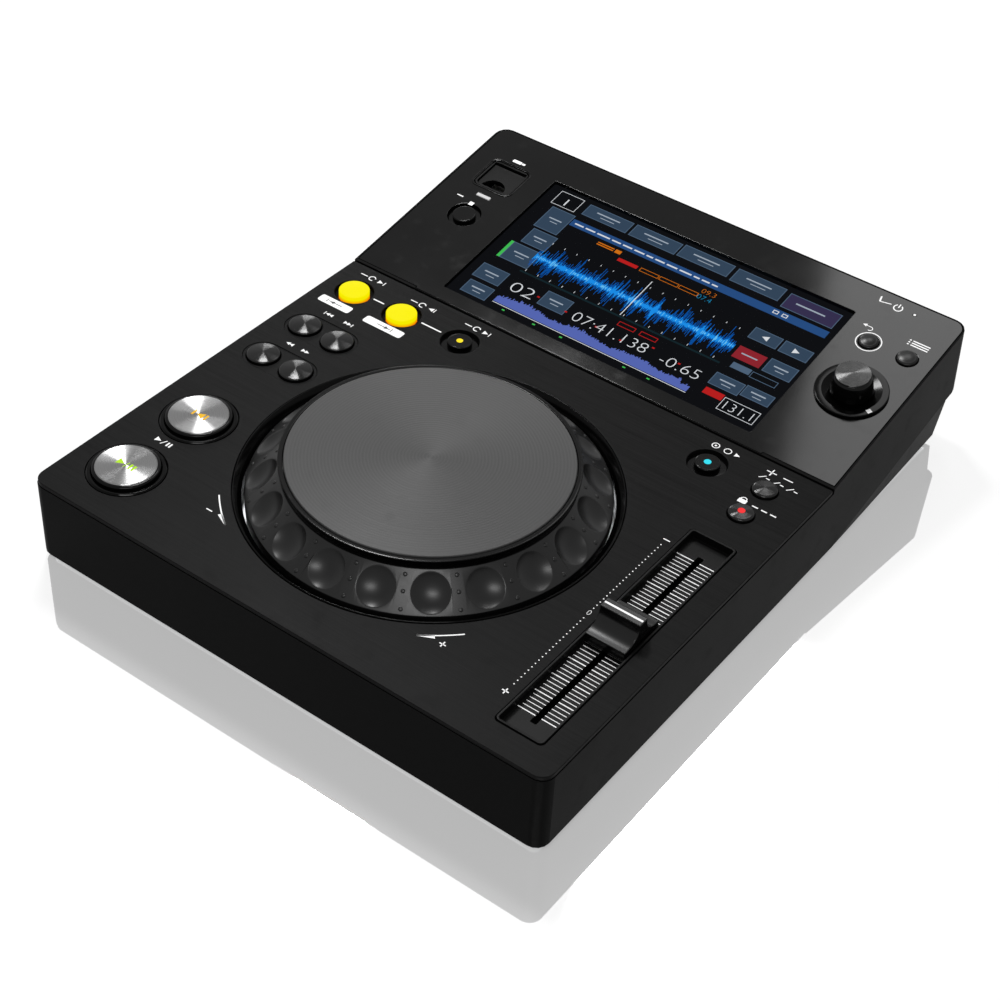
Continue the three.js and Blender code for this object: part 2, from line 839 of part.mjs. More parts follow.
function frontTongue() {
  const side = RIGHT - PANEL_WALL - FIT;
  const points = rectPoints(-side, side, PANEL_WALL + FIT, PANEL_WRAP + WELD, PANEL_WALL, 0);
  return toSolid(slab(points, SHEET_BOTTOM, SHEET_TOP));
}

function screwPost({ x, y }) {
  const onSlope = y > DECK_DEPTH;
  const place = (y - DECK_DEPTH) / Math.cos(HEAD_TILT);
  const under = onSlope ? headPoint(place, -HEAD_STACK).y : SHEET_BOTTOM;
  return toSolid(rod(x, y, SCREW.postRadius, BASE_TOP, under + WELD));
}

function screwBore({ x, y }) {
  const depth = SCREW.length + WELD;
  return toSolid(rod(x, y, SCREW.shankRadius + FIT, BASE_TOP - OVERRUN, BASE_TOP + depth, TINY_STEPS));
}

function deckBoardPost({ x, y }) {
  return toSolid(rod(x, y, POST_RADIUS, DECK_BOARD_TOP, SHEET_BOTTOM + WELD, TINY_STEPS));
}

function headBoardPost({ x, y }) {
  const post = rod(x, y, POST_RADIUS, HEAD_BOARD.top + FIT, WELD - HEAD_STACK, TINY_STEPS);
  return toSolid(onHead(post));
}

function sideCrease(side) {
  const x = side * RIGHT;
  const tuck = side * SIDE_CREASE.depth;
  const creaseStart = REAR_WALL - SIDE_CREASE.start;
  const past = side * OVERRUN;
  const points = [
    [x, creaseStart, CASE_BOTTOM],
    [x, REAR_WALL, OVERHANG],
    [x - tuck, REAR_WALL, CASE_BOTTOM],
    [x + past, creaseStart, CASE_BOTTOM],
    [x + past, REAR_WALL, OVERHANG],
    [x + past, REAR_WALL, CASE_BOTTOM],
  ];
  return toSolid(new ConvexGeometry(points.map(([a, b, c]) => new THREE.Vector3(a, b, c))));
}

function rearCutter(points) {
  return toSolid(rearBar(points, CAVITY_REAR - OVERRUN, REAR_WALL + OVERRUN));
}

function socketMouth({ x, width, height }) {
  const side = width / 2 + FIT;
  return rectPoints(x - side, x + side, BOARD_TOP - FIT, BOARD_TOP + height + FIT);
}

function jackPlaces() {
  return [JACKS.x - JACKS.spacing / 2, JACKS.x + JACKS.spacing / 2];
}

function inletOutline(grow) {
  const side = INLET.width / 2 + grow;
  const half = INLET.height / 2 + grow;
  const centre = BOARD_TOP + INLET.level;
  return rectPoints(INLET.x - side, INLET.x + side, centre - half, centre + half);
}

function powerOutline(grow) {
  const side = POWER.halfWidth + grow;
  const half = POWER.halfHeight + grow;
  const centre = BOARD_TOP + POWER.level;
  return rectPoints(POWER_X - side, POWER_X + side, centre - half, centre + half);
}

function rearCutters() {
  const jackLevel = BOARD_TOP + JACKS.level;
  return [
    ...jackPlaces().map((x) => circlePoints(x, jackLevel, JACKS.barrelRadius + FIT, SMALL_STEPS)),
    socketMouth(NETWORK),
    socketMouth(COMPUTER),
    inletOutline(FIT),
    powerOutline(RUNNING_FIT),
  ].map(rearCutter);
}

function deckCutters() {
  const below = SHEET_BOTTOM - OVERRUN;
  const above = SHEET_TOP + OVERRUN;
  const wellHole = JOG.wellRadius - JOG.wellBevel + JOG.wellWall + FIT;
  return [
    ...keyHoles(DECK_KEYS),
    ...keyHoles(DISC_KEYS),
    circlePoints(JOG.x, JOG.y, wellHole, LARGE_STEPS),
    sliderHole(),
  ].map((hole) => toSolid(slab(hole, below, above)));
}

function headCutters() {
  const below = -HEAD_STACK - OVERRUN;
  const through = [...headHoles(), windowOutline(SCREEN.margin + FIT)];
  return [
    toSolid(onHead(slab(faceOutline(FIT), -SKIN - FIT, OVERRUN))),
    ...through.map((hole) => toSolid(onHead(slab(hole, below, OVERRUN)))),
  ];
}

// The shell is made in two mouldings that meet behind the deck plate.
function deckSide() {
  return toSolid(block(LEFT - OVERRUN, RIGHT + OVERRUN, -OVERRUN, DECK_DEPTH, 0, DECK_TOP));
}

function frontScrews() {
  return SCREW_PLACES.filter(({ y }) => y < DECK_DEPTH);
}

function rearScrews() {
  return SCREW_PLACES.filter(({ y }) => y > DECK_DEPTH);
}

function deckCase() {
  const posts = [frontTongue(), ...frontScrews().map(screwPost), ...DECK_BOARD_POSTS.map(deckBoardPost)];
  const whole = joined([caseShell().intersect(deckSide()), ...posts]);
  const cutters = [...deckCutters(), ...frontScrews().map(screwBore)];
  return part("deck_case", cut(whole, cutters), blackPaint());
}

function headCase() {
  const posts = [...rearScrews().map(screwPost), ...HEAD_BOARD_POSTS.map(headBoardPost)];
  const whole = joined([caseShell().subtract(deckSide()), ...posts]);
  const cutters = [
    ...headCutters(),
    ...rearCutters(),
    ...rearScrews().map(screwBore),
    sideCrease(1),
    sideCrease(-1),
  ];
  return part("head_case", cut(whole, cutters), blackPaint());
}

function frontPanel() {
  const outer = rectPoints(LEFT, RIGHT, 0, PANEL_WRAP, PANEL_CORNER, 0);
  const inside = RIGHT - PANEL_WALL;
  const innerCorner = PANEL_CORNER - PANEL_WALL;
  const inner = rectPoints(-inside, inside, PANEL_WALL, PANEL_WRAP, innerCorner, 0);
  const frontOuter = outer.slice(0, -2);
  const frontInner = inner.slice(0, -2).reverse();
  const points = [
    ...frontOuter,
    new THREE.Vector2(RIGHT, PANEL_WRAP),
    new THREE.Vector2(inside, PANEL_WRAP),
    ...frontInner,
    new THREE.Vector2(-inside, PANEL_WRAP),
    new THREE.Vector2(LEFT, PANEL_WRAP),
  ];
  return part("front_panel", slab(points, CASE_BOTTOM, SHEET_TOP), blackPaint());
}

// The base sheet, with its vents and the standoffs under the boards.
function mainBoardRect() {
  const rear = CAVITY_REAR - MAIN_BOARD.rearGap;
  return [MAIN_BOARD.left, RIGHT - MAIN_BOARD.rightInset, rear - MAIN_BOARD.depth, rear];
}

function supplyRect() {
  return [SUPPLY_LEFT, SUPPLY_LEFT + SUPPLY.width, SUPPLY_REAR - SUPPLY.depth, SUPPLY_REAR];
}

function standoffs([x0, x1, y0, y1], inset) {
  const places = [
    [x0 + inset, y0 + inset],
    [x1 - inset, y0 + inset],
    [x0 + inset, y1 - inset],
    [x1 - inset, y1 - inset],
  ];
  return places.map(([x, y]) =>
    toSolid(rod(x, y, STANDOFF.radius, BASE_TOP - WELD, BOARD_LEVEL, TINY_STEPS))
  );
}

function ventSlots() {
  const y = BODY_DEPTH - VENT.rearInset;
  return Array.from({ length: VENT.count }, (_, i) => {
    const x = (i - (VENT.count - 1) / 2) * VENT.pitch;
    return rectPoints(x - VENT.width / 2, x + VENT.width / 2, y, y + VENT.length);
  });
}

function bottomPlate() {
  const side = CAVITY_SIDE - FIT;
  const outline = rectPoints(-side, side, PANEL_WALL + FIT, CAVITY_REAR - FIT, PANEL_WALL, 0);
  const screwHoles = SCREW_PLACES.map(({ x, y }) =>
    circlePoints(x, y, SCREW.shankRadius + FIT, TINY_STEPS)
  );
  const sheet = pierced(outline, CASE_BOTTOM, BASE_TOP, [...screwHoles, ...ventSlots()]);
  const solid = joined([
    sheet,
    ...standoffs(mainBoardRect(), MAIN_BOARD.postInset),
    ...standoffs(supplyRect(), SUPPLY.postInset),
  ]);
  return part("bottom_plate", solid, zincSteel());
}

function caseScrew({ name, x, y }) {
  const shankTop = BASE_TOP + SCREW.length;
  const headBottom = CASE_BOTTOM - SCREW.headHeight;
  const mesh = part(
    name,
    turned(
      [
        [0, headBottom],
        [SCREW.headRadius, headBottom],
        [SCREW.headRadius, CASE_BOTTOM],
        [SCREW.shankRadius, CASE_BOTTOM],
        [SCREW.shankRadius, shankTop],
        [0, shankTop],
      ],
      TINY_STEPS
    ),
    zincSteel()
  );
  mesh.position.set(x, y, 0);
  return mesh;
}

function foot({ name, x, y }) {
  const mesh = part(
    name,
    turned(
      [
        [0, 0],
        [FOOT.radius, 0],
        [FOOT.topRadius, FOOT_HEIGHT],
        [0, FOOT_HEIGHT],
      ],
      SMALL_STEPS
    ),
    blackRubber()
  );
  mesh.position.set(x, y, 0);
  return mesh;
}

// The jog wheel's fixed ring and pan.
function wellRing() {
  const inner = JOG.wellRadius - JOG.wellBevel;
  const profile = [
    [inner, -JOG.wellDepth],
    [inner + JOG.wellWall, -JOG.wellDepth],
    [inner + JOG.wellWall, -SKIN],
    [JOG.wellRadius, -SKIN],
    [JOG.wellRadius, 0],
    [JOG.wellRadius - JOG.wellLip, JOG.wellLip],
    [inner, JOG.wellLip - JOG.wellBevelDepth],
  ];
  return part("jog_well_ring", turnedRing(profile, LARGE_STEPS), glossBlack());
}

function jogBase() {
  const rimTop = -DECK_STACK;
  const floorBottom = -JOG.panFloorTop - JOG.panFloor;
  const inside = JOG_PAN_RADIUS - JOG.panWall;
  const profile = [
    [0, floorBottom],
    [JOG_PAN_RADIUS, floorBottom],
    [JOG_PAN_RADIUS, rimTop],
    [inside, rimTop],
    [inside, -JOG.panFloorTop],
    [JOG.spindleRadius, -JOG.panFloorTop],
    [JOG.spindleRadius, JOG.spindleTop],
    [0, JOG.spindleTop],
  ];
  return part("jog_base", turned(profile, MEDIUM_STEPS), panelMetal());
}

// The turning part of the jog wheel.
function jogSlope() {
  const run = JOG.ringSlope;
  const fall = JOG.ringTopHeight + JOG.ringDrop;
  const length = Math.hypot(run, fall);
  return { run, fall, length, outX: fall / length, outZ: run / length };
}

function jogRingBody() {
  const { run, fall, outZ } = jogSlope();
  const skirtBottom = -JOG.ringDrop - JOG.ringSkirt;
  const skirtInside = JOG_RING_RADIUS - JOG.ringSkirtWall;
  const landInside = JOG_TOP_RADIUS - JOG.ringLand;
  const under = (radius) =>
    JOG.ringTopHeight - ((radius - JOG_TOP_RADIUS) * fall) / run - JOG.ringThickness / outZ;
  const profile = [
    [landInside, under(landInside)],
    [skirtInside, under(skirtInside)],
    [skirtInside, skirtBottom],
    [JOG_RING_RADIUS, skirtBottom],
    [JOG_RING_RADIUS, -JOG.ringDrop],
    [JOG_TOP_RADIUS, JOG.ringTopHeight],
    [landInside, JOG.ringTopHeight],
  ];
  return toSolid(turnedRing(profile, LARGE_STEPS));
}

// Each dimple is the cap of a ball, turned about a line square to the ring's slope.
function dimpleCutters() {
  const { run, fall, outX, outZ } = jogSlope();
  const ball = (JOG.dimpleRadius ** 2 + JOG.dimpleDepth ** 2) / (2 * JOG.dimpleDepth);
  const reach = Math.asin(JOG.dimpleRadius / ball);
  const bowl = arcPoints(0, ball - JOG.dimpleDepth, ball, -Math.PI / 2, reach - Math.PI / 2, BOWL_STEPS);
  const profile = [
    [0, -JOG.dimpleDepth],
    ...bowl.slice(1).map((point) => point.toArray()),
    [JOG.dimpleRadius, OVERRUN],
    [0, OVERRUN],
  ];
  const radius = JOG_TOP_RADIUS + run / 2;
  const height = JOG.ringTopHeight - fall / 2;
  const lean = Math.atan2(outX, outZ);
  return Array.from({ length: JOG.dimples }, (_, i) => {
    const angle = JOG.dimplePhase + (i * 2 * Math.PI) / JOG.dimples;
    const cutter = turned(profile, TINY_STEPS).rotateY(lean).translate(radius, 0, height);
    return toSolid(cutter.rotateZ(angle));
  });
}

function jogRing() {
  return part("jog_ring", cut(jogRingBody(), dimpleCutters()), satinBlack());
}

function jogTrim() {
  const inner = JOG_PLATE_RADIUS + JOG.plateClearance;
  const outer = inner + JOG.trimWidth;
  const neck = inner + JOG.trimNeck;
  const bottom = JOG.ringTopHeight;
  const top = bottom + JOG.trimHeight;
  const profile = [
    [inner, bottom],
    [neck, bottom],
    [neck, top - JOG.trimLip],
    [outer, top - JOG.trimLip + JOG.trimEdge],
    [outer, top - JOG.trimEdge],
    [outer - JOG.trimEdge, top],
    [inner, top],
  ];
  return part("jog_trim_ring", turnedRing(profile, LARGE_STEPS), glossBlack());
}

function encoderSlots() {
  const slotOuter = JOG.discRadius - JOG.discSlotWidth;
  const slotInner = slotOuter - JOG.discSlotLength;
  const half = JOG.discSlotWidth / 2;
  const centre = new THREE.Vector2();
  return Array.from({ length: JOG.discSlots }, (_, i) => {
    const angle = (i * 2 * Math.PI) / JOG.discSlots;
    const slot = rectPoints(slotInner, slotOuter, -half, half);
    return toSolid(slab(slot.map((point) => point.rotateAround(centre, angle)), -JOG.panFloorTop, 0));
  });
}

function jogHub() {
  const bore = JOG.spindleRadius + RUNNING_FIT;
  const sleeve = bore + JOG.sleeveWall;
  const sleeveBottom = -JOG.panFloorTop + JOG.sleeveGap;
  const discBottom = JOG.hubTop - JOG.hubThickness;
  const codeBottom = -JOG.discDrop;
  const codeTop = codeBottom + JOG.discThickness;
  const profile = [
    [bore, sleeveBottom],
    [sleeve, sleeveBottom],
    [sleeve, codeBottom],
    [JOG.discRadius, codeBottom],
    [JOG.discRadius, codeTop],
    [sleeve, codeTop],
    [sleeve, discBottom],
    [JOG_HUB_RADIUS, discBottom],
    [JOG_HUB_RADIUS, JOG.hubTop],
    [bore, JOG.hubTop],
  ];
  const hub = toSolid(turnedRing(profile, MEDIUM_STEPS));
  return part("jog_hub", cut(hub, encoderSlots()), satinBlack());
}

function jogPlate() {
  const bottom = JOG.plateHeight - JOG.plateThickness;
  const footBottom = JOG.hubTop + JOG.plateTravel + FIT;
  const footInner = JOG.plateFootRadius - JOG.plateFootWall;
  const profile = [
    [0, bottom],
    [footInner, bottom],
    [footInner, footBottom],
    [JOG.plateFootRadius, footBottom],
    [JOG.plateFootRadius, bottom],
    [JOG_PLATE_RADIUS, bottom],
    [JOG_PLATE_RADIUS, JOG.plateHeight - JOG.plateEdge],
    [JOG_PLATE_RADIUS - JOG.plateEdge, JOG.plateHeight],
    [0, JOG.plateHeight],
  ];
  return part("jog_plate", turned(profile, LARGE_STEPS), platePaint());
}

function jogAssembly() {
  const group = new THREE.Group();
  group.position.set(JOG.x, JOG.y, DECK_TOP);
  group.add(wellRing(), jogBase(), jogRing(), jogTrim(), jogHub(), jogPlate());
  return group;
}

// The tempo slider, with its origin at the middle of the slot on the floor of the recess.
function sliderBezel() {
  const side = SLIDER.recessWidth / 2;
  const half = SLIDER.recessLength / 2;
  const top = SLIDER.recessDepth + SLIDER.lip;
  const outer = rectPoints(-side, side, -half, half, SLIDER.recessCorner);
  const inner = rectPoints(
    SLIDER.wall - side,
    side - SLIDER.wall,
    SLIDER.wall - half,
    half - SLIDER.wall,
    SLIDER.recessCorner - SLIDER.wall
  );
  const slot = rectPoints(
    -SLIDER.slotWidth / 2,
    SLIDER.slotWidth / 2,
    -SLIDER.slotLength / 2,
    SLIDER.slotLength / 2
  );
  const bottom = SHEET_BOTTOM - SLIDER_FLOOR;
  const tray = pierced(outer, bottom, top, [slot]);
  return part("slider_bezel", tray.subtract(toSolid(slab(inner, 0, top + OVERRUN))), satinBlack());
}

function sliderBody() {
  const side = SLIDER.bodyWidth / 2;
  const half = SLIDER.bodyLength / 2;
  const bottom = DECK_BOARD_TOP - SLIDER_FLOOR;
  const inside = side - SLIDER.bodyWall;
  const insideHalf = half - SLIDER.bodyWall;
  const outer = toSolid(block(-side, side, -half, half, bottom, bottom + SLIDER.bodyHeight));
  const channel = block(-inside, inside, -insideHalf, insideHalf, bottom + SLIDER.bodyFloor, 0);
  return part("slider_body", outer.subtract(toSolid(channel)), zincSteel());
}

function sliderCarriage() {
  const side = SLIDER.bodyWidth / 2 - SLIDER.bodyWall - SLIDER.carriageGap;
  const half = SLIDER.carriageLength / 2;
  const bottom = DECK_BOARD_TOP - SLIDER_FLOOR + SLIDER.bodyFloor + SLIDER.carriageGap;
  const top = bottom + SLIDER.carriageHeight;
  const stemSide = SLIDER.stemWidth / 2;
  const stemHalf = SLIDER.stemLength / 2;
  const solid = joined([
    toSolid(block(-side, side, -half, half, bottom, top)),
    toSolid(block(-stemSide, stemSide, -stemHalf, stemHalf, top - WELD, SLIDER.recessDepth + SLIDER.stemTop)),
  ]);
  return part("slider_carriage", solid, zincSteel());
}

function sliderCap() {
  const side = SLIDER.capWidth / 2;
  const half = SLIDER.capLength / 2;
  const bottom = SLIDER.capLift;
  const shoulder = SLIDER.recessDepth + SLIDER.capShoulder;
  const top = SLIDER.recessDepth + SLIDER.capTop;
  const ridge = SLIDER.capRidge;
  const valley = new THREE.QuadraticBezierCurve(
    new THREE.Vector2(half, shoulder),
    new THREE.Vector2(ridge, shoulder),
    new THREE.Vector2(ridge, top - SLIDER.capRidgeDrop)
  ).getPoints(CORNER_STEPS + 1);
  const rearHalf = [new THREE.Vector2(half, bottom), ...valley, new THREE.Vector2(ridge, top)];
  const frontHalf = rearHalf.map((point) => new THREE.Vector2(-point.x, point.y)).reverse();
  const body = toSolid(crossBar([...rearHalf, ...frontHalf], -side, side));
  const stemSide = SLIDER.stemWidth / 2 + FIT;
  const stemHalf = SLIDER.stemLength / 2 + FIT;
  const pocketTop = SLIDER.recessDepth + SLIDER.stemTop + FIT;
  const pocket = block(-stemSide, stemSide, -stemHalf, stemHalf, 0, pocketTop);
  return part("slider_cap", body.subtract(toSolid(pocket)), satinBlack());
}

function sliderAssembly() {
  const group = new THREE.Group();
  group.position.set(SLIDER_X, SLIDER_Y, SLIDER_FLOOR);
  group.add(sliderBezel(), sliderBody(), sliderCarriage(), sliderCap());
  return group;
}

// The selector, with its origin on the face plate's top.
function selectorDish() {
  const shaftHole = ROTOR_RADIUS + RUNNING_FIT;
  const bowl = SELECTOR.dishHeight - SELECTOR.bowlDepth;
  const profile = [
    [shaftHole, bowl - SELECTOR.bowlFloor - SKIN],
    [SELECTOR.spigotRadius, bowl - SELECTOR.bowlFloor - SKIN],
    [SELECTOR.spigotRadius, FIT],
    [SELECTOR.dishRadius, FIT],
    [SELECTOR.dishRadius, SELECTOR.dishHeight - FIT],
    [SELECTOR.dishRadius - FIT, SELECTOR.dishHeight],
    [SELECTOR.bowlRadius, SELECTOR.dishHeight],
    [SELECTOR.knobFootRadius, bowl],
    [shaftHole, bowl],
  ];
  return part("selector_dish", turnedRing(profile, MEDIUM_STEPS), glossBlack());
}

function selectorKnob() {
  const { knobBottom, knobTop, knobRadius, knobFootRadius, knobCrown, shaftRadius, shaftEnd } = SELECTOR;
  const profile = [
    [0, -shaftEnd],
    [shaftRadius, -shaftEnd],
    [shaftRadius, knobBottom],
    [knobFootRadius, knobBottom],
    [knobRadius, knobTop - knobCrown],
    [knobRadius - knobCrown, knobTop],
    [0, knobTop],
  ];
  return part("selector_knob", turned(profile, MEDIUM_STEPS), glossBlack());
}

function selectorCap() {
  const bottom = SELECTOR.knobTop + FIT;
  const profile = [
    [0, bottom],
    [SELECTOR.capRadius, bottom],
    [SELECTOR.capRadius, bottom + SELECTOR.capThickness],
    [0, bottom + SELECTOR.capThickness + SELECTOR.capCone],
  ];
  return part("selector_cap", turned(profile, MEDIUM_STEPS), spunAluminium());
}

// The rotor turns in the encoder, and the knob's shaft slides in it when it is pressed.
function selectorRotor() {
  const profile = [
    [ROTOR_BORE, -SELECTOR.rotorEnd],
    [ROTOR_RADIUS, -SELECTOR.rotorEnd],
    [ROTOR_RADIUS, -SELECTOR.rotorTop],
    [ROTOR_BORE, -SELECTOR.rotorTop],
  ];
  return part("selector_rotor", turnedRing(profile, MEDIUM_STEPS), zincSteel());
}

function selectorAssembly() {
  const group = new THREE.Group();
  group.position.set(SELECTOR_X, SELECTOR_Y, 0);
  group.add(selectorDish(), selectorKnob(), selectorCap(), selectorRotor());
  return group;
}

// The memory-stick port: its well, its socket and its hinged cover.
function portWell() {
  const floorTop = -PORT.depth;
  const inside = PORT.width / 2 - PORT.wall;
  const innerFront = PORT_FRONT + PORT.wall;
  const innerRear = PORT_REAR - PORT.wall;
  const socketSide = STICK_SOCKET.width / 2 + FIT;
  const socketHalf = STICK_SOCKET.height / 2 + FIT;
  const outer = slab(portOutline(0), floorTop - PORT.floor, -PORT.mouthDrop);
  const room = rectPoints(
    PORT_X - inside,
    PORT_X + inside,
    innerFront,
    innerRear,
    PORT.corner - PORT.wall,
    PORT.hingeCorner
  );
  const socketHole = rectPoints(
    PORT_X - socketSide,
    PORT_X + socketSide,
    PORT_Y - socketHalf,
    PORT_Y + socketHalf
  );
  const hinge = rodAcross(PORT_COVER.pinRadius + FIT, inside + PORT.wall + OVERRUN);
  const cutters = [
    toSolid(slab(room, floorTop, OVERRUN)),
    toSolid(slab(socketHole, floorTop - PORT.floor - OVERRUN, OVERRUN)),
    toSolid(hinge),
  ];
  return part("port_well", cut(toSolid(outer), cutters), satinBlack());
}

// A round bar along the cover's hinge line.
function rodAcross(radius, halfLength) {
  return crossBar(
    circlePoints(COVER_HINGE_Y, COVER_HINGE_LEVEL, radius, TINY_STEPS),
    PORT_X - halfLength,
    PORT_X + halfLength
  );
}

function portCover() {
  const side = PORT.width / 2 - PORT.wall - PORT_COVER.fit;
  const front = PORT_FRONT + PORT.wall + PORT_COVER.fit;
  const bottom = -PORT_COVER.drop - PORT_COVER.thickness;
  const top = -PORT_COVER.drop;
  const plate = slab(
    rectPoints(PORT_X - side, PORT_X + side, front, COVER_HINGE_Y, PORT.corner - PORT.wall, 0),
    bottom,
    top
  );
  const notch = rod(PORT_X, front, PORT_COVER.notchRadius, bottom - OVERRUN, OVERRUN, MEDIUM_STEPS);
  const pins = rodAcross(PORT_COVER.pinRadius, side + PORT_COVER.fit + PORT_COVER.pinReach);
  const solid = joined([
    toSolid(plate).subtract(toSolid(notch)),
    toSolid(rodAcross(PORT_COVER.barrelRadius, side)),
    toSolid(pins),
  ]);
  return part("port_cover", solid, satinBlack());
}

function stickSocket() {
  const side = STICK_SOCKET.width / 2;
  const half = STICK_SOCKET.height / 2;
  const bottom = HEAD_BOARD.top + FIT;
  const top = -PORT.depth - STICK_SOCKET.drop;
  const wall = STICK_SOCKET.wall;
  const shell = block(PORT_X - side, PORT_X + side, PORT_Y - half, PORT_Y + half, bottom, top);
  const mouth = block(
    PORT_X - side + wall,
    PORT_X + side - wall,
    PORT_Y - half + wall,
    PORT_Y + half - wall,
    bottom + STICK_SOCKET.floor,
    top + OVERRUN
  );
  const tongueRear = PORT_Y + half - wall - STICK_SOCKET.tongueGap;
  const tongue = block(
    PORT_X - STICK_SOCKET.tongueWidth / 2,
    PORT_X + STICK_SOCKET.tongueWidth / 2,
    tongueRear - STICK_SOCKET.tongueThickness,
    tongueRear,
    bottom,
    top - STICK_SOCKET.tongueDrop
  );
  const solid = toSolid(shell).subtract(toSolid(mouth)).add(toSolid(tongue));
  return part("stick_socket", solid, zincSteel());
}

function portLamp() {
  return part("port_lamp", slab(lampOutline(0), HEAD_BOARD.top + FIT, LAMP.stand), lampWhite());
}

function touchGlass() {
  const top = -SKIN - FIT;
  return part("touch_glass", slab(windowOutline(GLASS.margin), top - GLASS.thickness, top), clearGlass());
}

function screenModule() {
  const bottom = SCREEN_TOP - SCREEN.thickness;
  return part("screen_module", slab(windowOutline(SCREEN.margin), bottom, SCREEN_TOP), panelMetal());
}

// The encoder stands on the head board, with a bush that the rotor turns in.
function encoderBody() {
  const half = SELECTOR.encoderHalf;
  const bore = ROTOR_RADIUS + RUNNING_FIT;
  const bush = bore + SELECTOR.bushWall;
  const top = -SELECTOR.encoderTop;
  const square = rectPoints(SELECTOR_X - half, SELECTOR_X + half, SELECTOR_Y - half, SELECTOR_Y + half);
  return joined([
    toSolid(slab(square, HEAD_BOARD.top - WELD, top)),
    toSolid(rod(SELECTOR_X, SELECTOR_Y, bush, top - WELD, -HEAD_STACK, MEDIUM_STEPS)),
  ]).subtract(
    toSolid(rod(SELECTOR_X, SELECTOR_Y, bore, -SELECTOR.rotorEnd - FIT, OVERRUN, MEDIUM_STEPS))
  );
}

function headBoard() {
  const side = RIGHT - HEAD_BOARD.sideMargin;
  const outline = rectPoints(-side, side, HEAD_BOARD.frontMargin, HEAD_LENGTH - HEAD_BOARD.rearMargin);
  const board = toSolid(slab(outline, HEAD_BOARD.top - BOARD, HEAD_BOARD.top));
  return part("head_board", board.add(encoderBody()), boardGreen());
}

function headAssembly() {
  const group = new THREE.Group();
  group.position.set(0, DECK_DEPTH, HEAD_EDGE_TOP);
  group.rotation.x = HEAD_TILT;
  group.add(facePlate(), touchGlass(), screenModule(), headBoard());
  group.add(portWell(), stickSocket(), portCover(), portLamp(), selectorAssembly());
  HEAD_KEYS.forEach((place) => group.add(headKey(place, satinBlack())));
  return group;
}

// Boards and the supply inside the case.
function deckBoard() {
  const side = RIGHT - DECK_BOARD.sideMargin;
  const rear = DECK_DEPTH - DECK_BOARD.rearMargin;
  const bottom = DECK_BOARD_TOP - BOARD;
  const sheet = block(-side, side, DECK_BOARD.frontMargin, rear, bottom, DECK_BOARD_TOP);
  const well = rod(JOG.x, JOG.y, JOG_PAN_RADIUS + DECK_BOARD.gap, 0, DECK_TOP, LARGE_STEPS);
  const mouth = block(
    JOG.x - DECK_BOARD.mouthHalf,
    JOG.x + DECK_BOARD.mouthHalf,
    0,
    JOG.y,
    0,
    DECK_TOP
  );
  return part("deck_board", cut(toSolid(sheet), [toSolid(well), toSolid(mouth)]), boardGreen());
}

function mainBoard() {
  return part("main_board", block(...mainBoardRect(), BOARD_LEVEL, BOARD_TOP), boardGreen());
}

function powerSupply() {
  const [x0, x1, y0] = supplyRect();
  const middle = (x0 + x1) / 2;
  const coreFront = y0 + SUPPLY.postInset;
  const coreRear = coreFront + SUPPLY.coreDepth;
  const side = SUPPLY.coreWidth / 2;
  const canRow = coreRear + 2 * SUPPLY.canRadius;
  const below = BOARD_TOP - WELD;
  const place = (coreFront - DECK_DEPTH) / Math.cos(HEAD_TILT);
  const coreTop = headPoint(place, HEAD_BOARD.top - BOARD).y - SUPPLY.coreGap;
  const solids = [
    block(...supplyRect(), BOARD_LEVEL, BOARD_TOP),
    block(middle - side, middle + side, coreFront, coreRear, below, coreTop),
    rod(middle - SUPPLY.coreWidth / 4, canRow, SUPPLY.canRadius, below, BOARD_TOP + SUPPLY.canHeight),
    rod(middle + SUPPLY.coreWidth / 4, canRow, SUPPLY.canRadius, below, BOARD_TOP + SUPPLY.canHeight),
  ];
  return part("power_supply", joined(solids.map(toSolid)), boardGreen());
}

// The rear sockets and the power button.
function lineOutJacks() {
  const centre = BOARD_TOP + JACKS.level;
  const side = JACKS.blockWidth / 2;
  const front = CAVITY_REAR - JACKS.blockDepth;
  const top = BOARD_TOP + JACKS.blockHeight;
  const back = block(JACKS.x - side, JACKS.x + side, front, CAVITY_REAR, BOARD_TOP, top);
  const reach = REAR_WALL + JACKS.barrelReach;
  const barrels = jackPlaces().map((x) =>
    toSolid(rearBar(circlePoints(x, centre, JACKS.barrelRadius, SMALL_STEPS), CAVITY_REAR - WELD, reach))
  );
  const bores = jackPlaces().map((x) =>
    toSolid(
      rearBar(circlePoints(x, centre, JACKS.boreRadius, TINY_STEPS), CAVITY_REAR - WELD, reach + OVERRUN)
    )
  );
  return part("line_out_jacks", cut(joined([toSolid(back), ...barrels]), bores), zincSteel());
}

function socketShell(socket) {
  const side = socket.width / 2;
  const mouthSide = socket.mouthWidth / 2;
  const top = BOARD_TOP + socket.height;
  const mouthBottom = BOARD_TOP + (socket.height - socket.mouthHeight) / 2;
  const front = REAR_WALL - socket.depth;
  const mouthFront = REAR_WALL - socket.mouthDepth;
  const outer = block(socket.x - side, socket.x + side, front, REAR_WALL, BOARD_TOP, top);
  const mouth = block(
    socket.x - mouthSide,
    socket.x + mouthSide,
    mouthFront,
    REAR_WALL + OVERRUN,
    mouthBottom,
    mouthBottom + socket.mouthHeight
  );
  return toSolid(outer).subtract(toSolid(mouth));
}

function networkSocket() {
  return part("network_socket", socketShell(NETWORK), zincSteel());
}

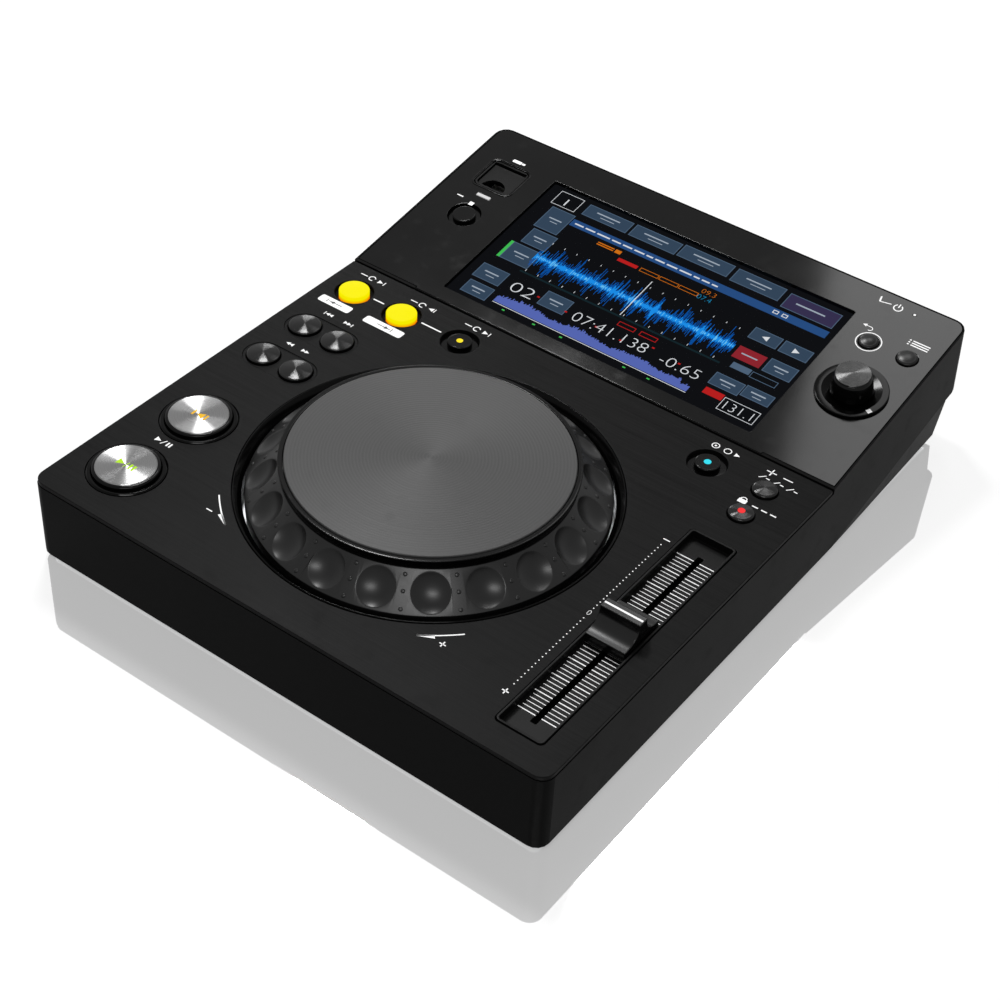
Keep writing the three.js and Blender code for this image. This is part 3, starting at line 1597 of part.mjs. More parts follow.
function computerSocket() {
  const side = COMPUTER.tongueWidth / 2;
  const centre = BOARD_TOP + COMPUTER.height / 2;
  const half = COMPUTER.tongueHeight / 2;
  const tongue = block(
    COMPUTER.x - side,
    COMPUTER.x + side,
    REAR_WALL - COMPUTER.mouthDepth - WELD,
    REAR_WALL - COMPUTER.tongueSetback,
    centre - half,
    centre + half
  );
  return part("computer_socket", socketShell(COMPUTER).add(toSolid(tongue)), zincSteel());
}

function mainsInlet() {
  const centre = BOARD_TOP + INLET.level;
  const rear = REAR_WALL;
  const outer = rearBar(inletOutline(0), rear - INLET.depth, rear);
  const mouthEnd = INLET.mouthHeight / 2;
  const mouthPoints = rectPoints(
    INLET.x - INLET.mouthWidth / 2,
    INLET.x + INLET.mouthWidth / 2,
    centre - mouthEnd,
    centre + mouthEnd,
    mouthEnd
  );
  const mouth = rearBar(mouthPoints, rear - INLET.mouthDepth, rear + OVERRUN);
  const pins = [-1, 1].map((side) => {
    const x = INLET.x + (side * INLET.pinSpacing) / 2;
    const points = circlePoints(x, centre, INLET.pinRadius, TINY_STEPS);
    return toSolid(rearBar(points, rear - INLET.mouthDepth - WELD, rear - INLET.pinSetback));
  });
  const solid = joined([toSolid(outer).subtract(toSolid(mouth)), ...pins]);
  return part("mains_inlet", solid, satinBlack());
}

function powerButton() {
  const centre = BOARD_TOP + POWER.level;
  const inner = CAVITY_REAR - FIT;
  const flangeFront = inner - POWER.flangeThickness;
  const solids = [
    rearBar(powerOutline(0), inner - WELD, REAR_WALL + POWER.stand),
    rearBar(powerOutline(POWER.flange), flangeFront, inner),
    rearBar(
      circlePoints(POWER_X, centre, POWER.stemRadius, TINY_STEPS),
      flangeFront - POWER.stemLength,
      flangeFront + WELD
    ),
  ];
  return part("power_button", joined(solids.map(toSolid)), satinBlack());
}

function player() {
  const body = new THREE.Group();
  body.position.set(0, -BODY_DEPTH / 2, 0);
  body.add(deckCase(), headCase(), bottomPlate(), frontPanel(), deckPlate());
  SCREW_PLACES.forEach((place) => body.add(caseScrew(place)));
  FOOT_PLACES.forEach((place) => body.add(foot(place)));
  body.add(jogAssembly(), sliderAssembly(), headAssembly());
  DISC_KEYS.forEach((place) => body.add(deckKey(place, spunAluminium()), discCollar(place)));
  DECK_KEYS.forEach((place) => body.add(deckKey(place, place.key === LOOP_KEY ? litYellow() : glossBlack())));
  body.add(deckBoard(), mainBoard(), powerSupply());
  body.add(lineOutJacks(), networkSocket(), computerSocket(), mainsInlet(), powerButton());
  const whole = new THREE.Group();
  whole.add(body);
  return whole;
}

export default player();
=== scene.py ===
"""Looks of a tabletop media player for mixing music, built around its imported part.

Sizes in the classes are millimetres, and the finished meshes are metres: X runs to the
right, Y from front to rear and Z up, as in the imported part. The head's own places run
across (x), up its slope from the front edge (s) and square to its face plate (level).
"""

import json
import logging
import math
import random
from collections.abc import Callable, Iterator, Sequence
from contextlib import contextmanager
from dataclasses import dataclass, replace
from enum import Enum
from functools import cache

import bpy
from mathutils import Matrix, Vector

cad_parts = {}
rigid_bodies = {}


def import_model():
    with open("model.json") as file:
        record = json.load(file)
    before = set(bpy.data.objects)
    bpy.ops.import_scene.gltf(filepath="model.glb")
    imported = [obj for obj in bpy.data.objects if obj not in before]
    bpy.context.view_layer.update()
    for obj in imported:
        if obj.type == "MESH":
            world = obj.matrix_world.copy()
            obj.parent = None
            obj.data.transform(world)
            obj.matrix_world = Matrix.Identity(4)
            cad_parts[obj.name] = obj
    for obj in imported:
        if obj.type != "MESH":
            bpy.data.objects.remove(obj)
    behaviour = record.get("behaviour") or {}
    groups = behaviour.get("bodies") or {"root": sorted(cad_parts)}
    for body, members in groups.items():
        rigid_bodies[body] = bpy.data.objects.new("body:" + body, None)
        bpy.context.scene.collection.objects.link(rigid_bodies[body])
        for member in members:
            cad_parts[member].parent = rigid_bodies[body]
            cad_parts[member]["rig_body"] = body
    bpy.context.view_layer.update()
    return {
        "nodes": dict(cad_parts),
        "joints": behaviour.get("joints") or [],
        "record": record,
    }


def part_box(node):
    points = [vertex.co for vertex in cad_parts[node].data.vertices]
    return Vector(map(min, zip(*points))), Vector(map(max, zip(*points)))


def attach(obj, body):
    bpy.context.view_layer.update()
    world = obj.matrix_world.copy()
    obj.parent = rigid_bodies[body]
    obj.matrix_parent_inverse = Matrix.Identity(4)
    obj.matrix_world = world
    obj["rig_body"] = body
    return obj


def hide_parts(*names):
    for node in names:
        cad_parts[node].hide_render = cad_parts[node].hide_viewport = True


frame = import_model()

LOG = logging.getLogger("media_player")

MM = 0.001
TAU = math.tau
WELD = 1e-6
SMOOTH_ANGLE = math.radians(32)
FINE = 256
ROUND = 96
SMALL_ROUND = 32
DOME_STEPS = 10
TINY_ROUND = 16
RING_STEPS = 48
EDGE_SHARE = 0.45
FIGURE_THINNING = -0.022
FIGURE_STEPS = 4
RAYS = ("Camera", "Glossy", "Transmission")

Triple = tuple[float, float, float]
Colour = Triple
Pair = tuple[float, float]
Profile = Sequence[Pair]
Spans = Sequence[tuple[Pair, Pair]]
Object = bpy.types.Object
Socket = bpy.types.NodeSocket


def shade(*levels: float) -> Colour:
    """Turn sRGB levels from 0 to 255 into a linear colour; one level makes a grey."""
    linear = [((v / 255 + 0.055) / 1.055) ** 2.4 if v > 10.3 else v / 3294.6 for v in levels]
    return (linear[0],) * 3 if len(linear) == 1 else tuple(linear)


class Side(Enum):
    """The two sides that paired marks and keys face."""

    LEFT = -1
    RIGHT = 1


# --------------------------------------------------------------------------- shader maths


class Number:
    """A shader value that Python's operators work on."""

    def __init__(self, paint: "Paint", socket: Socket) -> None:
        """Keep the tree and the socket that carries the value."""
        self.paint = paint
        self.socket = socket

    def _with(self, operation: str, *operands: "Number | float") -> "Number":
        """Add a Math node on these operands, in socket order."""
        node = self.paint.node("Math", {"operation": operation}, dict(enumerate(operands)))
        return Number(self.paint, node.outputs[0])

    def __add__(self, other: "Number | float") -> "Number":
        """Add."""
        return self._with("ADD", self, other)

    def __radd__(self, other: float) -> "Number":
        """Add, reflected."""
        return self._with("ADD", other, self)

    def __sub__(self, other: "Number | float") -> "Number":
        """Subtract."""
        return self._with("SUBTRACT", self, other)

    def __rsub__(self, other: float) -> "Number":
        """Subtract, reflected."""
        return self._with("SUBTRACT", other, self)

    def __mul__(self, other: "Number | float") -> "Number":
        """Multiply."""
        return self._with("MULTIPLY", self, other)

    def __rmul__(self, other: float) -> "Number":
        """Multiply, reflected."""
        return self._with("MULTIPLY", other, self)

    def sine(self) -> "Number":
        """Sine of the value in radians."""
        return self._with("SINE", self)

    def held(self, low: float, high: float) -> "Number":
        """Keep the value between two limits."""
        return self._with("MINIMUM", self._with("MAXIMUM", self, low), high)


class Paint:
    """The node tree of a material or a world, filled from Python."""

    def __init__(self, name: str, world: bpy.types.World | None = None) -> None:
        """Start an empty tree in the world given, or else in a new material.

        Args:
            name: Name of a new material.
            world: World to fill instead.
        """
        self.owner = world or bpy.data.materials.new(name)
        self.owner.use_nodes = True
        self.tree = self.owner.node_tree
        self.tree.nodes.clear()

    def node(self, kind: str, settings: dict | None = None, sockets: dict | None = None) -> bpy.types.Node:
        """Add a node.

        Args:
            kind: Node type, without the prefix that all of them share.
            settings: Properties by name, set first.
            sockets: Values or links by socket name or number.

        Returns:
            The node.
        """
        node = self.tree.nodes.new("ShaderNode" + kind)
        for key, value in (settings or {}).items():
            setattr(node, key, value)
        for key, value in (sockets or {}).items():
            self.feed(node.inputs[key], value)
        return node

    def feed(self, socket: Socket, value: "Number | Socket | float") -> None:
        """Link or set one socket.

        Args:
            socket: The socket.
            value: A value, or what to link.
        """
        if isinstance(value, Number):
            value = value.socket
        if isinstance(value, Socket):
            self.tree.links.new(value, socket)
        else:
            socket.default_value = value

    def place(self, centre: Sequence[float] = (0, 0, 0), stretch: Sequence[float] = (1, 1, 1)) -> Socket:
        """Object coordinates in millimetres.

        Args:
            centre: Point that becomes the origin, in millimetres.
            stretch: Factors along X, Y and Z.

        Returns:
            The vector socket.
        """
        source = self.node("TexCoord").outputs["Object"]
        scale = [factor / MM for factor in stretch]
        shift = [-value * factor for value, factor in zip(centre, stretch)]
        node = self.node("Mapping", None, {"Vector": source, "Scale": scale, "Location": shift})
        return node.outputs[0]

    def noise(self, vector: Socket, scale: float, detail: float = 2.0) -> Number:
        """Noise about one half, with features of about 1/scale."""
        node = self.node("TexNoise", None, {"Vector": vector, "Scale": scale, "Detail": detail})
        return Number(self, node.outputs[0])

    def noise_along(self, value: Number, scale: float, detail: float = 2.0) -> Number:
        """Noise along one value, such as a radius.

        Args:
            value: The value.
            scale: Features for each unit.
            detail: Finer octaves.

        Returns:
            Noise about one half.
        """
        settings = {"noise_dimensions": "1D"}
        node = self.node("TexNoise", settings, {"W": value, "Scale": scale, "Detail": detail})
        return Number(self, node.outputs[0])

    def length(self, vector: Socket) -> Number:
        """Length of a vector."""
        node = self.node("VectorMath", {"operation": "LENGTH"}, {0: vector})
        return Number(self, node.outputs["Value"])

    def parts(self, vector: Socket) -> list[Number]:
        """The X, Y and Z of a vector."""
        node = self.node("SeparateXYZ", None, {0: vector})
        return [Number(self, socket) for socket in node.outputs]

    def mix(self, low: Colour, high: Colour | Socket, factor: Number) -> Socket:
        """Colour between two colours, of which the second may be linked."""
        sockets = {0: factor, 6: (*low, 1), 7: high if isinstance(high, Socket) else (*high, 1)}
        return self.node("Mix", {"data_type": "RGBA"}, sockets).outputs[2]

    def seen(self) -> Number:
        """One for the rays that see a surface straight, mirrored or through glass, else zero.

        Returns:
            The factor.
        """
        rays = self.node("LightPath").outputs
        camera, glossy, through = [Number(self, rays[f"Is {kind} Ray"]) for kind in RAYS]
        return (camera + glossy + through).held(0, 1)

    def bump(self, height: Number, depth: float) -> Socket:
        """Normal from a height pattern, with a depth in millimetres."""
        sockets = {"Height": height, "Distance": depth * MM, "Strength": 1.0}
        return self.node("Bump", None, sockets).outputs[0]

    def close(self, shader: bpy.types.Node, output: str = "OutputMaterial") -> bpy.types.ID:
        """Send a shader to the output and return the material or the world."""
        self.node(output, None, {"Surface": shader.outputs[0]})
        return self.owner


# --------------------------------------------------------------------------- finishes


# Scale for each millimetre, and detail, of the noise under each handling mark.
CLOUD = (0.035, 3)
RUBBED = (0.12, 4)
DUST = (2.4, 1)


@dataclass(frozen=True)
class Look:
    """What varies over a surface."""

    tone: Number
    roughness: Number
    height: Number
    depth: float


@dataclass(frozen=True)
class Finish:
    """A surface finish: fixed values here, and a pattern from the subclass."""

    name: str
    colour: Colour
    roughness: float
    metallic: float = 0.0
    specular: float = 0.5
    anisotropy: float = 0.0
    turn: float = 0.0
    spread: float = 0.12

    def pattern(self, paint: Paint) -> Look:
        """Handling marks that every finish carries: clouds, rubbed spots and fine dust.

        Args:
            paint: The tree to fill.

        Returns:
            What varies over the surface.
        """
        place = paint.place()
        cloud = paint.noise(place, *CLOUD)
        dust = paint.noise(place, *DUST)
        rub = ((paint.noise(place, *RUBBED) - 0.58) * 6).held(0, 1)
        tone = (cloud * 0.7 + dust * 0.3 + rub * 0.15).held(0, 1)
        roughness = self.roughness + (cloud - 0.5) * 0.08 + rub * 0.04
        return Look(tone, roughness, dust, 0.001)

    def tinted(self, factor: float) -> Colour:
        """The colour times a factor."""
        return tuple(v * factor for v in self.colour)

    def sockets(self, paint: Paint, look: Look) -> dict:
        """The shader's own sockets for this kind of finish, by name.

        Args:
            paint: The tree to fill.
            look: What varies over the surface.

        Returns:
            Values by socket name.
        """
        low, high = self.tinted(1 - self.spread), self.tinted(1 + self.spread)
        return {
            "Base Color": paint.mix(low, high, look.tone),
            "Metallic": self.metallic,
            "Anisotropic": self.anisotropy,
            "Anisotropic Rotation": self.turn,
        }

    @cache
    def material(self) -> bpy.types.Material:
        """Build the material once.

        Returns:
            The node material.
        """
        paint = Paint(self.name)
        look = self.pattern(paint)
        sockets = {
            "Roughness": look.roughness.held(0.02, 1),
            "Specular IOR Level": self.specular,
            "Normal": paint.bump(look.height, look.depth),
        }
        return paint.close(paint.node("BsdfPrincipled", None, sockets | self.sockets(paint, look)))


@dataclass(frozen=True)
class Moulded(Finish):
    """Moulded plastic or paint with a fine spark-eroded grain."""

    grain: float = 0.45
    grain_depth: float = 0.02

    def pattern(self, paint: Paint) -> Look:
        """Grain over the handling marks.

        Args:
            paint: The tree to fill.

        Returns:
            What varies over the surface.
        """
        marks = Finish.pattern(self, paint)
        grain = paint.noise(paint.place(), 1 / self.grain, 2)
        tone = (marks.tone * 0.6 + grain * 0.4).held(0, 1)
        return Look(tone, marks.roughness + (grain - 0.5) * 0.08, grain, self.grain_depth)


@dataclass(frozen=True)
class Brushed(Finish):
    """Metal brushed from side to side."""

    streak: float = 0.28
    reach: float = 14.0
    streak_depth: float = 0.012

    def pattern(self, paint: Paint) -> Look:
        """Long streaks along X at two widths.

        Args:
            paint: The tree to fill.

        Returns:
            What varies over the surface.
        """
        marks = Finish.pattern(self, paint)
        along = self.streak / self.reach
        fine = paint.noise(paint.place(stretch=(along, 1, 1)), 1 / self.streak, 3)
        broad = paint.noise(paint.place(stretch=(along / 2, 1, 1)), 0.3 / self.streak, 2)
        streak = fine * 0.65 + broad * 0.35
        sharp = ((streak - 0.5) * 2.6 + 0.5).held(0, 1)
        tone = (marks.tone * 0.2 + sharp * 0.8).held(0, 1)
        return Look(tone, marks.roughness + (streak - 0.5) * 0.25, streak, self.streak_depth)


@dataclass(frozen=True)
class Turned(Finish):
    """Metal turned or spun round a centre, in millimetres."""

    turn: float = 0.25
    centre: Triple = (0.0, 0.0, 0.0)
    groove: float = 0.5
    groove_depth: float = 0.01

    def pattern(self, paint: Paint) -> Look:
        """Rings at an even pitch, with an uneven tool mark on top.

        Args:
            paint: The tree to fill.

        Returns:
            What varies over the surface.
        """
        marks = Finish.pattern(self, paint)
        radius = paint.length(paint.place(centre=self.centre))
        ring = (radius * (TAU / self.groove)).sine() * 0.5 + 0.5
        tool = paint.noise_along(radius, 1.7 / self.groove, 3)
        tone = (marks.tone * 0.2 + tool * 0.4 + ring * 0.4).held(0, 1)
        height = ring * 0.5 + tool * 0.5
        return Look(tone, marks.roughness + (tool - 0.5) * 0.12, height, self.groove_depth)


@dataclass(frozen=True)
class Board(Finish):
    """Lacquered circuit board with copper under the lacquer."""

    def pattern(self, paint: Paint) -> Look:
        """Straight tracks and pads in a cell pattern.

        Args:
            paint: The tree to fill.

        Returns:
            What varies over the surface.
        """
        marks = Finish.pattern(self, paint)
        settings = {"distance": "MANHATTAN"}
        sockets = {"Vector": paint.place(stretch=(1, 1, 0)), "Scale": 0.22}
        cell = Number(paint, paint.node("TexVoronoi", settings, sockets).outputs[0])
        track = ((cell * 9).sine() * 3).held(0, 1)
        return Look((marks.tone * 0.3 + track * 0.7).held(0, 1), marks.roughness, track, 0.03)


@dataclass(frozen=True)
class Lit(Finish):
    """A light guide or a lit picture: it glows by itself."""

    glow: float = 1.0
    body: float = 1.0
    foot: Colour | None = None
    foot_height: Pair = (0.0, 1.0)
    pixel: float = 0.25
    ior: float = 1.5

    def sockets(self, paint: Paint, look: Look) -> dict:
        """Glow in a fine grid of points, with a second colour at the foot if asked.

        Args:
            paint: The tree to fill.
            look: What varies over the surface.

        Returns:
            Values by socket name.
        """
        across, along, up = paint.parts(paint.place())
        grid = (across * (TAU / self.pixel)).sine() * (along * (TAU / self.pixel)).sine()
        tone = (look.tone * 0.6 + grid * 0.2 + 0.3).held(0, 1)
        dim = 1 - self.spread
        colour = paint.mix(self.tinted(dim), self.colour, tone)
        if self.foot:
            start, end = self.foot_height
            level = ((up - start) * (1 / (end - start)) + (look.tone - 0.5) * 0.2).held(0, 1)
            colour = paint.mix(self.foot, colour, level)
        return {
            "Base Color": paint.mix(self.tinted(dim * self.body), self.tinted(self.body), tone),
            "IOR": self.ior,
            "Emission Color": colour,
            "Emission Strength": self.glow,
        }


@dataclass(frozen=True)
class Clear(Finish):
    """Clear sheet: what lies under it shows, a little dimmed."""

    def pattern(self, paint: Paint) -> Look:
        """The handling marks, held down to a polish."""
        marks = Finish.pattern(self, paint)
        return Look(marks.tone, (marks.roughness * 0.5 + 0.02).held(0, 0.08), marks.height, 0.00002)

    def sockets(self, paint: Paint, look: Look) -> dict:
        """A thin tint over what lies under it."""
        colour = paint.mix(self.tinted(1 - self.spread), self.colour, look.tone)
        return {"Base Color": colour, "Alpha": look.tone * 0.02 + 0.06}


STEEL = shade(176, 178, 180)
FINISHES: dict[str, Finish] = {
    finish.name: finish
    for finish in (
        Moulded("case_black", shade(8), 0.42, specular=0.013, grain=0.4, grain_depth=0.01),
        Brushed(
            "deck_black",
            shade(11),
            0.42,
            specular=0.027,
            spread=0.95,
            streak=0.45,
            reach=26,
            streak_depth=0.06,
        ),
        Finish("face_black", shade(4), 0.1, specular=0.11),
        *(Brushed(name, STEEL, 0.35, metallic=1) for name in ("base_steel", "pan_steel", "rotor_steel")),
        Brushed("screw_steel", shade(120), 0.35, metallic=1),
        Moulded("foot_rubber", shade(22), 0.85, specular=0.2, grain=0.8, grain_depth=0.06),
        Finish("well_gloss", shade(2), 0.12, specular=0.05),
        Moulded("ring_satin", shade(7), 0.34, specular=0.23, grain=0.3, grain_depth=0.002),
        Finish("trim_gloss", shade(2), 0.14, specular=0.1),
        Moulded("hub_plastic", shade(34), 0.5),
        Turned(
            "plate_alloy",
            shade(45),
            0.46,
            specular=0.16,
            anisotropy=0.5,
            spread=0.3,
            groove=1.3,
            groove_depth=0.03,
        ),
        Moulded("bezel_black", shade(6), 0.4, specular=0.05, grain=0.3, grain_depth=0.002),
        # Steel kept far darker than bare steel: painted shade for the slider's track, which is seen down its
        # narrow slot.
        Brushed("track_steel", shade(30), 0.5, metallic=1),
        Finish("slider_black", shade(5), 0.22, specular=0.2),
        Clear("screen_glass", shade(4, 4, 5), 0.03, specular=0.0),
        Brushed("screen_shell", shade(160), 0.4, metallic=1),
        Board("board_green", shade(24, 82, 48), 0.4, specular=0.5, spread=0.35),
        Moulded("port_black", shade(6), 0.3, specular=0.04, grain=0.4, grain_depth=0.004),
        Brushed("socket_steel", shade(190, 190, 188), 0.3, metallic=1),
        Lit("lamp_white", shade(225), 0.25, specular=0.2, glow=0.3, body=0.4, spread=0.05),
        Finish("dish_gloss", shade(2), 0.12, specular=0.05),
        Finish("knob_black", shade(3), 0.16, specular=0.12),
        Turned("knob_metal", shade(45), 0.26, metallic=1, anisotropy=1.0, groove=0.35),
        Turned("key_gloss", shade(2), 0.17, specular=0.2, anisotropy=1.0, groove=0.3),
        Lit("key_lit", shade(255, 244, 0), 0.4, specular=0.02, glow=0.9, body=0.06, spread=0.04),
        Finish("ring_key_black", shade(3), 0.14, specular=0.08),
        Moulded("key_satin", shade(6), 0.3, specular=0.16, grain=0.3, grain_depth=0.002),
        Turned("disc_metal", shade(120), 0.28, metallic=1, anisotropy=1.0, groove=0.3),
        Finish("collar_gloss", shade(2), 0.14, specular=0.06),
        Moulded("inlet_black", shade(12), 0.5, specular=0.2),
        Moulded("power_black", shade(14), 0.45, specular=0.2),
    )
}
INK = Finish("white_ink", shade(222), 0.5, specular=0.3, spread=0.05)
DARK_INK = Finish("dark_ink", shade(24), 0.5, specular=0.3)


# --------------------------------------------------------------------------- modelling


class Bench:
    """Modelling steps that the sub-assemblies share. Sizes are millimetres."""

    @staticmethod
    def take(*pieces: Object) -> None:
        """Select only these pieces, with the first one active.

        Args:
            pieces: The pieces.
        """
        bpy.ops.object.select_all(action="DESELECT")
        for piece in pieces:
            piece.select_set(True)
        bpy.context.view_layer.objects.active = pieces[0]

    @staticmethod
    @contextmanager
    def edit(piece: Object) -> Iterator[None]:
        """Work on a piece in edit mode, with all of it selected at first.

        Args:
            piece: The piece.
        """
        Bench.take(piece)
        bpy.ops.object.mode_set(mode="EDIT")
        bpy.ops.mesh.select_all(action="SELECT")
        yield
        bpy.ops.object.mode_set(mode="OBJECT")

    @staticmethod
    def fresh(name: str) -> Object:
        """Name the primitive that was just added.

        Args:
            name: Its name.

        Returns:
            The piece.
        """
        piece = bpy.context.object
        piece.name = name
        return piece

    @staticmethod
    def plane(name: str, size: float = MM) -> Object:
        """Add a square plane; its size is in metres.

        Args:
            name: Its name.
            size: Length of a side.

        Returns:
            The piece.
        """
        bpy.ops.object.select_all(action="DESELECT")
        bpy.ops.mesh.primitive_plane_add(size=size)
        return Bench.fresh(name)

    @staticmethod
    def settle(piece: Object) -> Object:
        """Put a piece's place, turn and scale into its mesh.

        Args:
            piece: The piece.

        Returns:
            The piece.
        """
        Bench.take(piece)
        bpy.ops.object.transform_apply(location=True, rotation=True, scale=True)
        return piece

    @staticmethod
    def _path(points: Sequence[Vector]) -> None:
        """Draw a path of edges in place of a plane, from inside edit mode.

        Args:
            points: Corners, in metres.
        """
        bpy.ops.mesh.merge(type="CENTER")
        bpy.ops.transform.translate(value=points[0])
        for here, there in zip(points, points[1:]):
            bpy.ops.mesh.extrude_vertices_move(TRANSFORM_OT_translate={"value": there - here})
        bpy.ops.mesh.select_all(action="SELECT")

    @staticmethod
    def _raise(up: Pair) -> None:
        """Raise a flat piece to a solid with its normals out, from inside edit mode.

        Args:
            up: Lowest and highest Z.
        """
        bpy.ops.mesh.select_all(action="SELECT")
        bpy.ops.mesh.extrude_region_move(TRANSFORM_OT_translate={"value": (0, 0, (up[1] - up[0]) * MM)})
        bpy.ops.mesh.select_all(action="SELECT")
        bpy.ops.mesh.normals_make_consistent(inside=False)

    @staticmethod
    def turned(
        name: str,
        profile: Profile,
        at: Sequence[float] = (0, 0, 0),
        steps: int = ROUND,
        sweep: float = TAU,
        start: float = 0.0,
    ) -> Object:
        """Turn a profile round an upright axis.

        Args:
            name: Name of the piece.
            profile: Radii and heights; the first point is repeated last for a ring.
            at: Place of the axis and of height zero.
            steps: Steps round the axis.
            sweep: Angle swept.
            start: Angle of the first profile.

        Returns:
            The piece.
        """
        piece = Bench.plane(name)
        ray = Vector((math.cos(start), math.sin(start), 0))
        points = [(ray * radius + Vector((0, 0, height))) * MM for radius, height in profile]
        with Bench.edit(piece):
            Bench._path(points)
            bpy.ops.mesh.spin(steps=steps, angle=-sweep, center=(0, 0, 0), axis=(0, 0, 1))
            bpy.ops.mesh.select_all(action="SELECT")
            bpy.ops.mesh.remove_doubles(threshold=WELD)
            bpy.ops.mesh.fill_holes(sides=0)
            bpy.ops.mesh.normals_make_consistent(inside=False)
        piece.location = Vector(at) * MM
        return Bench.settle(piece)

    @staticmethod
    def tile(
        name: str,
        across: Pair,
        along: Pair,
        up: Pair,
        corner: float = 0.0,
        front_only: bool = False,
        turn: float = 0.0,
    ) -> Object:
        """Make a flat rectangle with round corners and raise it.

        Args:
            name: Name of the piece.
            across: Lowest and highest X.
            along: Lowest and highest Y.
            up: Lowest and highest Z.
            corner: Radius of the corners.
            front_only: Round only the front corners.
            turn: Turn about the middle.

        Returns:
            The piece.
        """
        piece = Bench.plane(name, 1)
        piece.scale = ((across[1] - across[0]) * MM, (along[1] - along[0]) * MM, 1)
        Bench.settle(piece)
        with Bench.edit(piece):
            if front_only:
                Bench.pick(piece, lambda point: point.y < 0)
            if corner:
                bpy.ops.mesh.bevel(affect="VERTICES", offset=corner * MM, segments=8)
            Bench._raise(up)
        middle = ((across[0] + across[1]) / 2, (along[0] + along[1]) / 2, up[0])
        piece.location = Vector(middle) * MM
        piece.rotation_euler.z = turn
        return Bench.settle(piece)

    @staticmethod
    def outline(name: str, points: Sequence[Pair], up: Pair) -> Object:
        """Draw an outline from point to point, fill it and raise it.

        Args:
            name: Name of the piece.
            points: Corners in X and Y.
            up: Lowest and highest Z.

        Returns:
            The piece.
        """
        piece = Bench.plane(name)
        places = [Vector((x, y, up[0])) * MM for x, y in points]
        with Bench.edit(piece):
            Bench._path(places)
            bpy.ops.mesh.edge_face_add()
            Bench._raise(up)
        return piece

    @staticmethod
    def pick(piece: Object, test: Callable[[Vector], bool]) -> None:
        """Select the vertices that pass a test, from inside edit mode.

        Args:
            piece: The piece.
            test: Says whether a place passes.
        """
        bpy.ops.mesh.select_all(action="DESELECT")
        bpy.ops.object.mode_set(mode="OBJECT")
        for vertex in piece.data.vertices:
            vertex.select = test(vertex.co)
        bpy.ops.object.mode_set(mode="EDIT")

    @staticmethod
    def cylinder(name: str, at: Sequence[float], radius: float, up: Pair, sides: int = ROUND) -> Object:
        """Add an upright cylinder.

        Args:
            name: Name of the piece.
            at: Place of its axis in X and Y.
            radius: Radius.
            up: Lowest and highest Z.
            sides: Sides.

        Returns:
            The piece.
        """
        bpy.ops.object.select_all(action="DESELECT")
        middle = Vector((at[0], at[1], (up[0] + up[1]) / 2)) * MM
        bpy.ops.mesh.primitive_cylinder_add(
            vertices=sides, radius=radius * MM, depth=(up[1] - up[0]) * MM, location=middle
        )
        return Bench.settle(Bench.fresh(name))

    @staticmethod
    def joined(name: str, pieces: Sequence[Object]) -> Object:
        """Join pieces into one object.

        Args:
            name: Name of the whole.
            pieces: The pieces.

        Returns:
            The whole.
        """
        Bench.take(*pieces)
        if len(pieces) > 1:
            bpy.ops.object.join()
        return Bench.fresh(name)

    @staticmethod
    def modified(piece: Object, kind: str, **settings: object) -> Object:
        """Add a modifier with its settings and apply it.

        Args:
            piece: The piece.
            kind: Type of modifier.
            settings: Its properties.

        Returns:
            The piece.
        """
        Bench.take(piece)
        modifier = piece.modifiers.new(kind.title(), kind)
        for key, value in settings.items():
            setattr(modifier, key, value)
        bpy.ops.object.modifier_apply(modifier=modifier.name)
        return piece

    @staticmethod
    def shaped(piece: Object, cutters: Sequence[Object]) -> Object:
        """Cut shapes out of a piece; they don't overlap each other, and are used up.

        Args:
            piece: The piece.
            cutters: Shapes to cut away.

        Returns:
            The piece.
        """
        cutter = Bench.joined("cutter", cutters)
        Bench.modified(piece, "BOOLEAN", operation="DIFFERENCE", object=cutter, solver="EXACT")
        bpy.data.objects.remove(cutter)
        return piece

    @staticmethod
    def softened(piece: Object, width: float, segments: int = 2, angle: float = 30.0) -> Object:
        """Bevel the edges that are sharper than an angle.

        Args:
            piece: The piece.
            width: Width of the bevel.
            segments: Its segments.
            angle: The angle, in degrees.

        Returns:
            The piece.
        """
        settings = {"width": width * MM, "segments": segments, "limit_method": "ANGLE"}
        settings |= {"angle_limit": math.radians(angle), "use_clamp_overlap": False}
        return Bench.modified(piece, "BEVEL", **settings)

    @staticmethod
    def smooth(piece: Object, angle: float = SMOOTH_ANGLE) -> Object:
        """Shade a piece smooth up to an angle.

        Args:
            piece: The piece.
            angle: The angle.

        Returns:
            The piece.
        """
        Bench.take(piece)
        bpy.ops.object.shade_smooth_by_angle(angle=angle)
        return piece

    @staticmethod
    def flat_smooth(piece: Object) -> Object:
        """Shade a piece smooth, with its large faces kept flat."""
        Bench.smooth(piece)
        return Bench.modified(piece, "WEIGHTED_NORMAL", keep_sharp=True, weight=100)


def about(middle: float, half: float) -> Pair:
    """The span of a half width to both sides of a middle."""
    return middle - half, middle + half


def footprint(low: Vector, high: Vector, grow: float = 0.0) -> tuple[Pair, Pair]:
    """Spans in X and Y between two corners, grown on all sides."""
    return (low.x - grow, high.x + grow), (low.y - grow, high.y + grow)


def bend(t: float, start: Vector, tip: Vector, end: Vector) -> Vector:
    """A point of a curve from start to end that is drawn towards a tip."""
    return start * (1 - t) ** 2 + tip * 2 * t * (1 - t) + end * t**2


